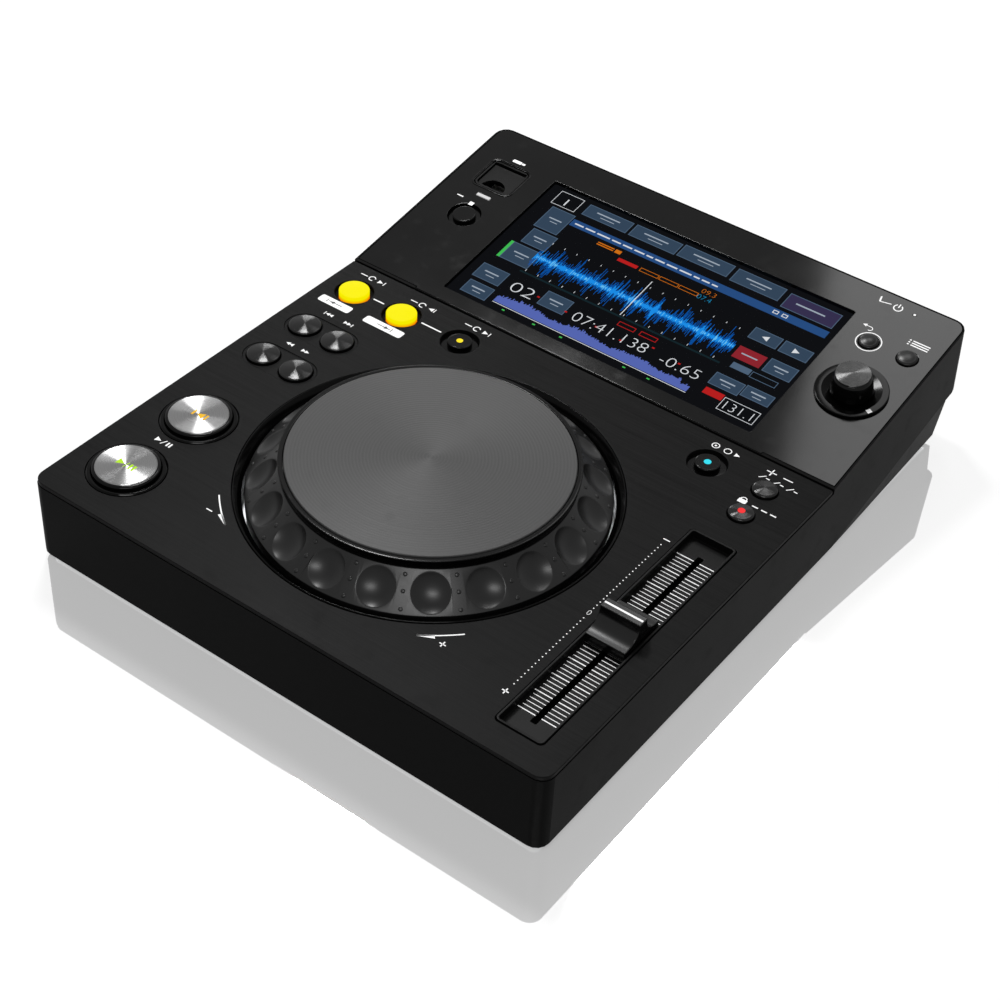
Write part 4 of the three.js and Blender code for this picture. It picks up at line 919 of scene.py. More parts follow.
def rounded(points: Profile, radius: float, steps: int = 4, closed: bool = False) -> list[Pair]:
    """Round the corners of a profile.

    Args:
        points: Corners.
        radius: Radius of each corner, less where an edge is short.
        steps: Steps along each corner.
        closed: Whether the last point joins the first.

    Returns:
        The rounded profile, with its first point repeated last if it is closed.
    """
    corners = [Vector(point) for point in points]
    count = len(corners)
    inner = range(count) if closed else range(1, count - 1)
    result: list[Pair] = [] if closed else [tuple(corners[0])]
    for i in inner:
        before, here, after = corners[i - 1], corners[i], corners[(i + 1) % count]
        back, ahead = before - here, after - here
        half = back.angle(ahead) / 2
        reach = min(radius / math.tan(half), back.length * EDGE_SHARE, ahead.length * EDGE_SHARE)
        start, end = here + back.normalized() * reach, here + ahead.normalized() * reach
        result += [tuple(bend(k / steps, start, here, end)) for k in range(steps + 1)]
    result.append(result[0] if closed else tuple(corners[-1]))
    return result


# --------------------------------------------------------------------------- places


def low_high(node: str) -> tuple[Vector, Vector]:
    """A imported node's corners in millimetres."""
    low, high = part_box(node)
    return low / MM, high / MM


def middle_of(node: str) -> Vector:
    """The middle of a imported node's box in millimetres."""
    low, high = low_high(node)
    return (low + high) / 2


def body_of(node: str) -> str:
    """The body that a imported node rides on."""
    return frame["nodes"][node]["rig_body"]


def slot_table() -> dict[str, str]:
    """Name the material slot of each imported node."""
    return {entry["node"]: entry["material_slot"] for entry in frame["record"]["subparts"]}


SLOT_OF = slot_table()


@dataclass(frozen=True)
class Slope:
    """The head's face: its tilt, and its front edge in the middle, in millimetres."""

    selector_place: float = 49.1

    @property
    def tilt(self) -> float:
        """Tilt of the face from level."""
        axis = self._joint()["axis"]
        return math.atan2(-axis[1], axis[2])

    @staticmethod
    def _joint() -> dict:
        """The joint whose axis is square to the face, with its point on the face."""
        return next(joint for joint in frame["joints"] if joint["name"] == "selector_spin")

    @property
    def matrix(self) -> Matrix:
        """From the head's own places to the part's frame, in millimetres.

        Returns:
            The matrix.
        """
        point = Vector(self._joint()["pos_m"]) / MM
        turn = Matrix.Rotation(self.tilt, 4, "X")
        origin = point - turn @ Vector((point.x, self.selector_place, 0))
        return Matrix.Translation(origin) @ turn

    def lay(self, piece: Object) -> Object:
        """Lay a piece, made in the head's own places, on the head.

        Args:
            piece: The piece.

        Returns:
            The piece.
        """
        lift = self.matrix.copy()
        lift.translation *= MM
        piece.matrix_world = lift @ piece.matrix_world
        return Bench.settle(piece)

    def point(self, x: float, s: float, level: float) -> Vector:
        """A point of the head in the part's frame."""
        return self.matrix @ Vector((x, s, level))

    def foot(self, node: str) -> Vector:
        """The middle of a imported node, on the face, in the head's own places.

        Args:
            node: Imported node.

        Returns:
            The place.
        """
        low, high = self.places(node)
        middle = (low + high) / 2
        return Vector((middle.x, middle.y, 0))

    def places(self, node: str) -> tuple[Vector, Vector]:
        """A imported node's corners in the head's own places.

        Args:
            node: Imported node.

        Returns:
            Its lowest and its highest corner.
        """
        back = self.matrix.inverted()
        points = [back @ (vertex.co / MM) for vertex in frame["nodes"][node].data.vertices]
        low, high = [Vector([pick(point[i] for point in points) for i in range(3)]) for pick in (min, max)]
        return low, high


SLOPE = Slope()


def fitted(piece: Object, body: str, slot: str, finish: Finish | None = None, *replaced: str) -> Object:
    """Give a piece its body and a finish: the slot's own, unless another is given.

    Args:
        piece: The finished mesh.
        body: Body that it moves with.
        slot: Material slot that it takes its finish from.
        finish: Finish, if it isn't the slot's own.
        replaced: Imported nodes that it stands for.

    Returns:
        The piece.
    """
    Bench.settle(piece)
    piece.data.materials.clear()
    piece.data.materials.append((finish or FINISHES[slot]).material())
    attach(piece, body)
    if replaced:
        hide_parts(*replaced)
    LOG.info("%s: %d faces on %s", piece.name, len(piece.data.polygons), body)
    return piece


def stand_in(piece: Object, node: str, finish: Finish | None = None) -> Object:
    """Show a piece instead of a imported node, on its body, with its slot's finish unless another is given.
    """
    return fitted(piece, body_of(node), SLOT_OF[node], finish, node)


def refined(node: str, width: float) -> Object:
    """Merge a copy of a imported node, bevel its edges and show it instead.

    Args:
        node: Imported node.
        width: Width of the bevel, or zero for none.

    Returns:
        The piece.
    """
    piece = bpy.data.objects.new(node + "_look", frame["nodes"][node].data.copy())
    bpy.context.collection.objects.link(piece)
    with Bench.edit(piece):
        bpy.ops.mesh.remove_doubles(threshold=WELD)
        bpy.ops.mesh.dissolve_limited(angle_limit=math.radians(0.5))
    if width:
        Bench.softened(piece, width)
    Bench.flat_smooth(piece)
    return stand_in(piece, node)


class Stencil:
    """Thin marks on a flat surface, joined into one piece."""

    def __init__(self, name: str, level: float, thickness: float = 0.04, on_head: bool = False) -> None:
        """Start a set of marks.

        Args:
            name: Name of the piece.
            level: Height of the surface that carries them.
            thickness: Thickness of the marks.
            on_head: Whether the places are the head's own.
        """
        self.name = name
        self.up = (level, level + thickness)
        self.on_head = on_head
        self.marks: list[Object] = []

    def bar(self, x: Pair, y: Pair, corner: float = 0.0, turn: float = 0.0) -> None:
        """Add a bar, with round corners if asked.

        Args:
            x: Left and right end.
            y: Front and rear end.
            corner: Radius of its corners.
            turn: Turn about its middle.
        """
        if corner or turn:
            self.marks.append(Bench.tile(self.name, x, y, self.up, corner, turn=turn))
            return
        middle = Vector(((x[0] + x[1]) / 2, (y[0] + y[1]) / 2, sum(self.up) / 2)) * MM
        size = Vector((x[1] - x[0], y[1] - y[0], self.up[1] - self.up[0])) * MM
        bpy.ops.mesh.primitive_cube_add(size=1, location=middle, scale=size)
        self.marks.append(Bench.fresh(self.name))

    def bars(self, *spans: tuple[Pair, Pair]) -> None:
        """Add plain bars."""
        for x, y in spans:
            self.bar(x, y)

    def frame(self, x: Pair, y: Pair, line: float = 0.3) -> None:
        """Add a rectangle drawn as four lines.

        Args:
            x: Left and right end.
            y: Front and rear end.
            line: Width of the lines.
        """
        self.bar(x, (y[0], y[0] + line))
        self.bar(x, (y[1] - line, y[1]))
        self.bar((x[0], x[0] + line), (y[0] + line, y[1] - line))
        self.bar((x[1] - line, x[1]), (y[0] + line, y[1] - line))

    def line(self, start: Pair, end: Pair, width: float) -> None:
        """Add a straight line between two points.

        Args:
            start: One end.
            end: Other end.
            width: Width of the line.
        """
        run = Vector(end) - Vector(start)
        middle = (Vector(end) + Vector(start)) / 2
        across, along = about(middle.x, run.length / 2), about(middle.y, width / 2)
        self.bar(across, along, turn=math.atan2(run.y, run.x))

    def dot(self, x: float, y: float, radius: float, sides: int = TINY_ROUND) -> None:
        """Add a round dot."""
        self.marks.append(Bench.cylinder(self.name, (x, y), radius, self.up, sides))

    def shape(self, points: Sequence[Pair]) -> None:
        """Add a filled outline."""
        self.marks.append(Bench.outline(self.name, points, self.up))

    def ring(
        self, x: float, y: float, radius: float, width: float, sweep: float = TAU, start: float = 0
    ) -> None:
        """Add a ring or an arc.

        Args:
            x: Centre across.
            y: Centre along.
            radius: Middle radius.
            width: Width of the line.
            sweep: Angle swept.
            start: Angle of its first end.
        """
        low, high = radius - width / 2, radius + width / 2
        thick = self.up[1] - self.up[0]
        profile = [(low, 0), (high, 0), (high, thick), (low, thick), (low, 0)]
        steps = max(8, int(RING_STEPS * sweep / TAU))
        self.marks.append(Bench.turned(self.name, profile, (x, y, self.up[0]), steps, sweep, start))

    def arrow(self, x: float, y: float, size: float, side: Side) -> None:
        """Add a triangle that points left or right."""
        back, tip = about(x, side.value * size / 2)
        self.shape([(tip, y), (back, y + size / 2), (back, y - size / 2)])

    def digits(self, text: str, x: Pair, y: Pair) -> None:
        """Add figures that fill a rectangle.

        Args:
            text: Figures, and signs between them.
            x: Left and right end.
            y: Lowest and highest place.
        """
        bpy.ops.object.select_all(action="DESELECT")
        bpy.ops.object.text_add()
        text_piece = bpy.context.object
        text_piece.data.body = text
        text_piece.data.offset = FIGURE_THINNING
        text_piece.data.extrude = 1.0
        text_piece.data.resolution_u = FIGURE_STEPS
        bpy.ops.object.convert(target="MESH")
        piece = Bench.fresh(self.name)
        corners = [Vector(corner) for corner in piece.bound_box]
        low, high = corners[0], corners[6]
        size = [(end - start) * MM for start, end in (x, y, self.up)]
        piece.scale = [want / have for want, have in zip(size, high - low)]
        start = Vector((x[0], y[0], self.up[0])) * MM
        piece.location = start - Vector([a * b for a, b in zip(low, piece.scale)])
        Bench.settle(piece)
        with Bench.edit(piece):
            bpy.ops.mesh.remove_doubles(threshold=WELD)
        self.marks.append(piece)

    def done(self, body: str, slot: str, finish: Finish) -> Object:
        """Join the marks, place them and give them their finish.

        Args:
            body: Body that they move with.
            slot: Material slot.
            finish: Finish.

        Returns:
            The marks as one piece.
        """
        piece = Bench.joined(self.name, self.marks)
        if self.on_head:
            SLOPE.lay(piece)
        return fitted(piece, body, slot, finish)


# --------------------------------------------------------------------------- sub-assemblies


DECK_TOP = low_high("deck_plate")[1].z
SKIN = 2.0
TRAY_FLOOR = DECK_TOP - 3
DECK_STACK = 4.5
HEAD_STACK = 4.8
DISH_RADIUS = 13.2
FIT = 0.3
RUNNING_FIT = 0.35


def deck_foot(node: str) -> Vector:
    """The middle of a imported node, on the deck's top."""
    middle = middle_of(node)
    return Vector((middle.x, middle.y, DECK_TOP))


@dataclass(frozen=True)
class Case:
    """The case, its front panel and its feet."""

    def build(self) -> None:
        """Merge and smooth the case and its front panel, and soften the feet's edges."""
        for node in ("deck_case", "head_case", "front_panel"):
            refined(node, 0)
        for node in ("foot_front_left", "foot_front_right", "foot_rear_left", "foot_rear_right"):
            refined(node, 0.6)


@dataclass(frozen=True)
class KeyForm:
    """Measures of one kind of key, from the surface round it."""

    radius: float
    rise: float
    crown: float
    moat_radius: float = 0.0
    moat_depth: float = 0.0
    dome: float = 0.0
    recess: float = 0.0
    flange: float = 1.2
    flange_depth: float = 1.2
    stem: float = 1.5

    @property
    def outer(self) -> float:
        """Radius where the key passes through its hole."""
        return self.moat_radius or self.radius

    @property
    def hole(self) -> float:
        """Radius of its hole in the plate."""
        return self.recess or self.outer + RUNNING_FIT

    def profile(self, stem_end: float, stack: float) -> list[Pair]:
        """Outline of the key from its stem to its crown.

        Args:
            stem_end: Height of the stem's end.
            stack: Depth of the sheets that it passes through.

        Returns:
            Radii and heights.
        """
        top = -stack - FIT
        low = top - self.flange_depth
        rim = self.outer + self.flange
        foot = [(0, stem_end), (self.stem, stem_end), (self.stem, low), (rim, low), (rim, top)]
        foot.append((self.outer, top))
        if self.moat_radius:
            moat = [(self.outer, -self.moat_depth), (self.radius, -self.moat_depth)]
            foot += rounded([(self.outer, top), *moat], 0.3)[1:]
        shoulder = self.rise - self.dome
        corners = [(self.radius, foot[-1][1]), (self.radius, shoulder - self.crown * 0.4)]
        corners += [(self.radius - self.crown, shoulder), (0, shoulder)]
        crown = rounded(corners, self.crown, 5)[1:-1]
        edge = crown[-1][0]
        shares = [1 - k / DOME_STEPS for k in range(1, DOME_STEPS + 1)]
        dome = [(edge * share, shoulder + self.dome * (1 - share**2)) for share in shares]
        return foot + crown + dome


SKIP_KEY = KeyForm(6.9, 1.5, 0.7, dome=0.55)
LOOP_KEY = KeyForm(6.6, 1.6, 0.6, dome=0.25, recess=8.5)
SMALL_KEY = KeyForm(5.15, 1.8, 0.9, dome=0.4)
RING_KEY = KeyForm(5.25, 0.5, 0.5, 7.9, 1.7)
STOP_KEY = KeyForm(5.25, 0.5, 0.5, 7.25, 1.5)
BACK_KEY = KeyForm(4.15, 1.5, 0.9, dome=0.5)
TAG_KEY = KeyForm(4.35, 1.5, 0.9, dome=0.4)
DISC_KEY = KeyForm(13.25, 2.1, 0.9)
LOOP_FOOT = shade(255, 120, 0)
DISC_RADIUS = 11.9
DISC_RISE = 2.5
COLLAR_RADIUS = 15.4

DECK_KEYS: dict[str, KeyForm] = {
    "search_back_button": SKIP_KEY,
    "search_forward_button": SKIP_KEY,
    "track_back_button": SKIP_KEY,
    "track_forward_button": SKIP_KEY,
    "loop_in_button": LOOP_KEY,
    "loop_out_button": LOOP_KEY,
    "reloop_button": RING_KEY,
    "jog_mode_button": RING_KEY,
    "tempo_range_button": SMALL_KEY,
    "tempo_lock_button": SMALL_KEY,
}
DISC_KEYS = {"play_button": "play_collar", "cue_button": "cue_collar"}
HEAD_KEYS: dict[str, KeyForm] = {
    "stick_stop_button": STOP_KEY,
    "back_button": BACK_KEY,
    "tag_button": TAG_KEY,
}


@dataclass(frozen=True)
class Key:
    """One push key, in place."""

    node: str
    form: KeyForm
    finish: Finish | None = None

    @property
    def on_head(self) -> bool:
        """Whether it is one of the head's keys."""
        return self.node in HEAD_KEYS

    @property
    def foot(self) -> Vector:
        """Where its axis meets the surface: in the part's frame, or in the head's own places."""
        return SLOPE.foot(self.node) if self.on_head else deck_foot(self.node)

    def build(self) -> Object:
        """Turn the key and put it in its hole.

        Returns:
            The key.
        """
        slot, foot = SLOT_OF[self.node], self.foot
        if self.on_head:
            stem, stack, place = SLOPE.places(self.node)[0].z, HEAD_STACK, SLOPE.point(*foot)
        else:
            stem, stack, place = low_high(self.node)[0].z - DECK_TOP, DECK_STACK, foot
        finish = self.finish or FINISHES[slot]
        if isinstance(finish, Turned):
            finish = replace(finish, name=f"{slot}_{self.node}", centre=tuple(place))
        if self.form is LOOP_KEY:
            glow = {"foot": LOOP_FOOT, "foot_height": (DECK_TOP - 2, DECK_TOP)}
            finish = replace(finish, name=f"{slot}_{self.node}", **glow)
        piece = Bench.turned(self.node + "_look", self.form.profile(stem, stack), foot)
        if self.on_head:
            SLOPE.lay(piece)
        Bench.smooth(piece)
        return stand_in(piece, self.node, finish)

    def stencil(self, name: str, sink: float = 0.0, thickness: float = 0.05) -> Stencil:
        """Start marks on the key's top."""
        rise = DISC_RISE if self.form is DISC_KEY else self.form.rise
        return Stencil(name, self.foot.z + rise - sink, thickness, self.on_head)


# Plain bars on the deck: dashes between the pills, minus and plus at the wheel, minus and plus at
# the slider, plus and minus over the range key, and the body of the lock.
DECK_BARS: Spans = (
    ((-95.1, -89.4), (22.4, 23.1)),
    ((-69.0, -58.6), (22.2, 22.9)),
    ((-57.5, -54.7), (-121.35, -120.85)),
    ((53.1, 55.9), (-121.75, -121.25)),
    ((54.25, 54.75), (-122.9, -120.1)),
    ((84.0, 86.9), (-25.75, -25.25)),
    ((83.5, 86.3), (-125.85, -125.35)),
    ((84.65, 85.15), (-127.0, -124.2)),
    ((93.6, 98.0), (33.3, 33.8)),
    ((95.55, 96.05), (31.5, 35.5)),
    ((101.0, 105.2), (33.3, 33.8)),
    ((93.8, 97.4), (10.6, 12.9)),
)
PILLS = ((-105.2, 9.6, 16.6, Side.LEFT), (-79.3, 10.0, 19.9, Side.RIGHT))


@dataclass(frozen=True)
class Deck:
    """The brushed deck plate and the marks printed on it."""

    corner: float = 5.5
    rail: float = 0.3
    capsule: Pair = (-113.4, -78.6)
    capsule_half: float = 8.3
    hollow: float = 0.4

    def build(self) -> None:
        """Make the plate, cut its openings and print its marks."""
        self._plate()
        self._prints()

    def _plate(self) -> None:
        """The plate with all its openings."""
        low, high = low_high("deck_plate")
        plate = Bench.tile("deck_plate_look", *footprint(low, high), (low.z, high.z), self.corner, True)
        through = (low.z - 1, high.z + 1)
        rounds = {node: form.hole for node, form in DECK_KEYS.items()}
        rounds |= {collar: COLLAR_RADIUS + FIT for collar in DISC_KEYS.values()}
        holes = [Bench.cylinder("hole", middle_of(node), radius, through) for node, radius in rounds.items()]
        well_low, well_high = low_high("jog_well_ring")
        radius = (well_high.x - well_low.x) / 2
        holes.append(Bench.cylinder("hole", (well_low + well_high) / 2, radius + FIT, through, FINE))
        holes.append(Bench.tile("hole", *footprint(*low_high("slider_bezel"), FIT), through, 2))
        Bench.shaped(plate, holes)
        for node in ("search_back_button", "track_back_button"):
            along = about(middle_of(node).y, self.capsule_half)
            up = (high.z - self.hollow, high.z + 1)
            Bench.shaped(plate, [Bench.tile("capsule", self.capsule, along, up, self.capsule_half - 0.1)])
        Bench.softened(plate, self.rail)
        Bench.flat_smooth(plate)
        stand_in(plate, "deck_plate")

    def _prints(self) -> None:
        """White marks: pills, dashes, icons, arcs and the slider's scale."""
        marks = Stencil("deck_marks", DECK_TOP)
        for x, y, width, _ in PILLS:
            marks.bar(about(x, width / 2), about(y, 2.3), 1.1)
        marks.bars(*DECK_BARS)
        self._loop_icons(marks)
        self._skip_icons(marks)
        self._play_icon(marks)
        self._wheel_icons(marks)
        self._slider_icons(marks)
        marks.done("chassis", "lamp_white", INK)
        dark = Stencil("deck_pill_marks", DECK_TOP + 0.04, 0.02)
        for x, y, _, side in PILLS:
            dark.arrow(x + side.value * 1.6, y, 2.0, side)
            dark.bar(about(x, 3.4), about(y, 0.2))
            dark.bar(about(x + side.value * 4.2, 0.2), about(y, 1.1))
        dark.done("chassis", "case_black", DARK_INK)

    @staticmethod
    def _loop_icons(marks: Stencil) -> None:
        """Icons over the loop keys and the loop-again key.

        Args:
            marks: The marks to add to.
        """
        for x, y, side in ((-105.0, 34.0, Side.RIGHT), (-76.4, 32.6, Side.LEFT), (-48.5, 34.0, Side.RIGHT)):
            marks.ring(x, y, 1.45, 0.45, TAU * 0.8, 0.3)
            marks.arrow(x + 4.6, y, 2.4, side)
            marks.bar((x + 6.4, x + 6.8), about(y, 1.2))
            marks.bar((x - 6.2, x - 2.6), about(y, 0.25))

    @staticmethod
    def _skip_icons(marks: Stencil) -> None:
        """Double arrows by the track keys and the search keys.

        Args:
            marks: The marks to add to.
        """
        for y, bars in ((2.0, True), (-24.0, False)):
            for side in Side:
                middle = -97.0 + side.value * (5.0 if bars else 4.2)
                for k in (-0.9, 0.9):
                    marks.arrow(middle + k, y, 1.9, side)
                if bars:
                    x = middle + side.value * 2.3
                    marks.bar(about(x, 0.2), about(y, 1))

    @staticmethod
    def _play_icon(marks: Stencil) -> None:
        """Play and pause, between the two large keys.

        Args:
            marks: The marks to add to.
        """
        marks.arrow(-99.2, -103.2, 2.6, Side.RIGHT)
        marks.line((-97.2, -104.6), (-95.8, -101.8), 0.4)
        for x in (-94.4, -93.0):
            marks.bar(about(x, 0.35), (-104.4, -102.0))

    @staticmethod
    def _wheel_icons(marks: Stencil) -> None:
        """Arcs with barbs at both sides of the wheel, and the mode key's disc.

        Args:
            marks: The marks to add to.
        """
        centre = middle_of("jog_well_ring").xy
        for side, radius, spread in ((Side.LEFT, 79.7, (33.6, 46.1)), (Side.RIGHT, 81.1, (34.8, 46.9))):
            ends = [math.radians(270 + side.value * angle) for angle in spread]
            marks.ring(*centre, radius, 0.55, abs(ends[1] - ends[0]), min(ends))
            tip, back = ends[0], ends[0] + side.value * math.radians(4.6)
            barb = ((tip, -0.25), (tip, 0.25), (back, 1.5), (back, 0.0))
            rays = [Vector((math.cos(turn), math.sin(turn))) * (radius + out) for turn, out in barb]
            marks.shape([tuple(centre + ray) for ray in rays])
        for middle in (70.0, 75.6):
            marks.ring(middle, 33.6, 1.5, 0.4)
        marks.dot(70.0, 33.6, 0.5)
        marks.arrow(80.0, 33.6, 2.2, Side.RIGHT)

    @staticmethod
    def _slider_icons(marks: Stencil) -> None:
        """The slider's signs, its dots and the icons of the keys behind it.

        Args:
            marks: The marks to add to.
        """
        marks.digits("0", (84.5, 85.9), (-77.0, -74.5))
        for k in range(45):
            y = -121.0 + k * 92 / 44
            if abs(y + 75.7) > 2.2:
                marks.dot(85.2, y, 0.28, 8)
        for k in range(3):
            x = 93.0 + k * 6.2
            marks.line((x, 28.0), (x + 2.2, 30.4), 0.4)
            marks.bar((x + 2.8, x + 4.4), (28.9, 29.4))
        marks.ring(95.6, 12.9, 1.2, 0.4, math.pi, 0)
        for k in range(3):
            marks.bar((100.0 + k * 4, 102.6 + k * 4), (11.5, 12.1))


@dataclass(frozen=True)
class JogWheel:
    """The wheel: its well, its ring with finger dimples, its trim and its top plate."""

    well: float = 74.9
    dimples: int = 20
    phase: float = math.radians(2.4)
    dimple: float = 7.7
    dimple_depth: float = 2.4
    slope: Profile = ((70.4, -1.3), (57.2, 9.6))
    plate: float = 55.4
    stud: float = 0.85

    @property
    def centre(self) -> Vector:
        """The axis on the deck's top."""
        return deck_foot("jog_well_ring")

    def build(self) -> None:
        """Make all its pieces."""
        self._well()
        self._ring()
        self._studs()
        self._trim()
        self._plate()

    def _turn(self, name: str, profile: Profile, radius: float, steps: int = FINE) -> Object:
        """Turn a closed profile with rounded corners about the wheel's axis."""
        return Bench.turned(name, rounded(profile, radius, 4, True), self.centre, steps)

    def _well(self) -> None:
        """The glossy ring round the wheel."""
        inner, outer = self.well - 3.5, self.well
        profile = [(inner, -8), (inner + 1.6, -8), (inner + 1.6, -2), (outer, -2), (outer, 0)]
        profile += [(outer - 0.4, 0.4), (inner, -3.0)]
        ring = Bench.smooth(self._turn("jog_well_ring_look", profile, 0.25))
        stand_in(ring, "jog_well_ring")

    @property
    def _lean(self) -> float:
        """Lean of the ring's slope from level."""
        (outer, low), (inner, high) = self.slope
        return math.atan2(high - low, outer - inner)

    def _on_slope(self, piece: Object, turn: float, share: float = 0.5, lift: float = 0.0) -> Object:
        """Lean a piece made at the origin and put it on the ring's slope.

        Args:
            piece: The piece.
            turn: Angle round the wheel.
            share: Place on the slope, from zero at the rim to one at the top.
            lift: Distance out of the slope.

        Returns:
            The piece.
        """
        (outer, low), (inner, high) = self.slope
        out = Vector((math.sin(self._lean), 0, math.cos(self._lean)))
        spot = Vector((outer + (inner - outer) * share, 0, low + (high - low) * share)) + out * lift
        leaning = Matrix.Translation(spot * MM) @ Matrix.Rotation(self._lean, 4, "Y")
        piece.matrix_world = Matrix.Translation(self.centre * MM) @ Matrix.Rotation(turn, 4, "Z") @ leaning
        return Bench.settle(piece)

    def _ring(self) -> None:
        """The satin ring with its finger dimples."""
        (outer, low), (inner, high) = self.slope
        thick = 4.6 / math.cos(self._lean)
        fall = (high - low) / (outer - inner)
        skirt, land = outer - 2.9, inner - 2.6
        under = [high - (radius - inner) * fall - thick for radius in (land, skirt)]
        profile = [(land, under[0]), (skirt, under[1]), (skirt, low - 5.2), (outer, low - 5.2), (outer, low)]
        profile += [(inner, high), (land, high)]
        ring = self._turn("jog_ring_look", profile, 0.6)
        ball = (self.dimple**2 + self.dimple_depth**2) / (2 * self.dimple_depth)
        reach = math.asin((self.dimple + 0.5) / ball)
        angles = [reach * k / 14 for k in range(15)]
        rim = [(ball * math.sin(a), ball - self.dimple_depth - ball * math.cos(a)) for a in angles]
        cup = [*rim, (rim[-1][0], 3), (0, 3)]
        turns = [self.phase + i * TAU / self.dimples for i in range(self.dimples)]
        Bench.shaped(ring, [self._on_slope(Bench.turned("cup", cup, steps=64), turn) for turn in turns])
        with Bench.edit(ring):
            bpy.ops.mesh.remove_doubles(threshold=0.05 * MM)
        Bench.softened(ring, 0.22, 2, 24)
        Bench.smooth(ring, math.radians(40))
        stand_in(ring, "jog_ring")

    def _studs(self) -> None:
        """Three small studs between each two dimples."""
        cap = [(0, -0.6), (self.stud, -0.6), (self.stud, 0.0)]
        rises = [k * math.pi / 12 for k in range(1, 7)]
        cap += [(self.stud * math.cos(rise), 0.28 * math.sin(rise)) for rise in rises]
        studs = []
        for i in range(self.dimples):
            turn = self.phase + (i + 0.5) * TAU / self.dimples
            for share in (0.12, 0.5, 0.86):
                studs.append(self._on_slope(Bench.turned("stud", cap, steps=20), turn, share, 0.05))
        piece = Bench.smooth(Bench.joined("jog_ring_studs", studs))
        fitted(piece, "jog", "ring_satin")

    def _trim(self) -> None:
        """The glossy ring round the top plate."""
        inner = self.plate + FIT
        neck, outer = inner + 1.2, inner + 1.9
        profile = [(inner, 9.6), (neck, 9.6), (neck, 11.7), (outer, 12.1), (outer, 13.6), (inner, 13.6)]
        ring = Bench.smooth(self._turn("jog_trim_ring_look", profile, 0.35))
        stand_in(ring, "jog_trim_ring")

    def _plate(self) -> None:
        """The top plate, turned with fine grooves."""
        profile = [(0, 12), (30, 12), (30, 4.8), (33, 4.8), (33, 12), (self.plate, 12), (self.plate, 13.6)]
        profile += [(self.plate - 0.12, 13.85), (self.plate - 0.4, 14), (20, 14), (0, 14)]
        piece = Bench.turned("jog_plate_look", profile, self.centre, FINE)
        Bench.smooth(piece, math.radians(20))
        finish = replace(FINISHES["plate_alloy"], centre=tuple(self.centre + Vector((0, 0, 14))))
        stand_in(piece, "jog_plate", finish)


@dataclass(frozen=True)
class TempoSlider:
    """The tempo slider: its sunk tray, its scale and its cap."""

    cap_half: Pair = (8.5, 10.85)
    shoulder: float = 2.2
    ridge: float = 2.5
    slot: Pair = (1.2, 53.2)
    pocket: Pair = (1.4, 3.05)
    reach: int = 25
    pitch: float = 2.0

    def build(self) -> None:
        """Make the tray, its scale and the cap."""
        self._tray()
        self._scale()
        self._cap()

    def _tray(self) -> None:
        """The tray with its slot."""
        low, high = low_high("slider_bezel")
        middle = (low + high) / 2
        tray = Bench.tile("slider_bezel_look", *footprint(low, high), (low.z, high.z), 2)
        Bench.shaped(tray, [Bench.tile("room", *footprint(low, high, -1), (TRAY_FLOOR, high.z + 1), 1)])
        across, along = about(middle.x, self.slot[0]), about(middle.y, self.slot[1])
        Bench.shaped(tray, [Bench.tile("slot", across, along, (low.z - 1, high.z), 0.3)])
        Bench.softened(tray, 0.3)
        stand_in(Bench.flat_smooth(tray), "slider_bezel")

    def _scale(self) -> None:
        """Scale lines on the tray's floor, with a long one at every fifth place."""
        marks = Stencil("slider_scale", TRAY_FLOOR)
        middle = middle_of("slider_bezel").y
        for k in range(-self.reach, self.reach + 1):
            short, half = (0.0, 0.21) if k % 5 == 0 else (1.0, 0.14)
            for x in ((90.4 + short, 98.1), (100.7, 108.4 - short)):
                marks.bar(x, about(middle + k * self.pitch, half))
        marks.done("chassis", "lamp_white", INK)

    def _cap(self) -> None:
        """The cap: a ridge with a concave slope at both sides."""
        side, half = self.cap_half
        low, high = low_high("slider_cap")
        middle = (low + high) / 2
        bottom, top = low.z, high.z
        shoulder = DECK_TOP + self.shoulder
        places = (half, shoulder), (self.ridge, shoulder), (self.ridge, top - 0.8)
        corners = [Vector(place) for place in places]
        valley = [tuple(bend(k / 16, *corners)) for k in range(17)]
        rear = [(half, bottom), *valley, (self.ridge, top)]
        front = [(-y, z) for y, z in reversed(rear)]
        cap = Bench.outline("slider_cap_look", [*rear, *front], (-side, side))
        stand = Matrix(((0, 0, 1, 0), (1, 0, 0, 0), (0, 1, 0, 0), (0, 0, 0, 1)))
        cap.matrix_world = Matrix.Translation(Vector((middle.x, middle.y, 0)) * MM) @ stand
        Bench.settle(cap)
        across, along = about(middle.x, self.pocket[0]), about(middle.y, self.pocket[1])
        Bench.shaped(cap, [Bench.tile("pocket", across, along, (bottom - 1, DECK_TOP + 5.3))])
        Bench.softened(cap, 0.35, 3)
        stand_in(Bench.flat_smooth(cap), "slider_cap")
        line = Stencil("slider_cap_line", top, 0.03)
        line.bar(about(middle.x, side - 0.4), about(middle.y, 0.45))
        line.done("tempo_slider", "lamp_white", INK)


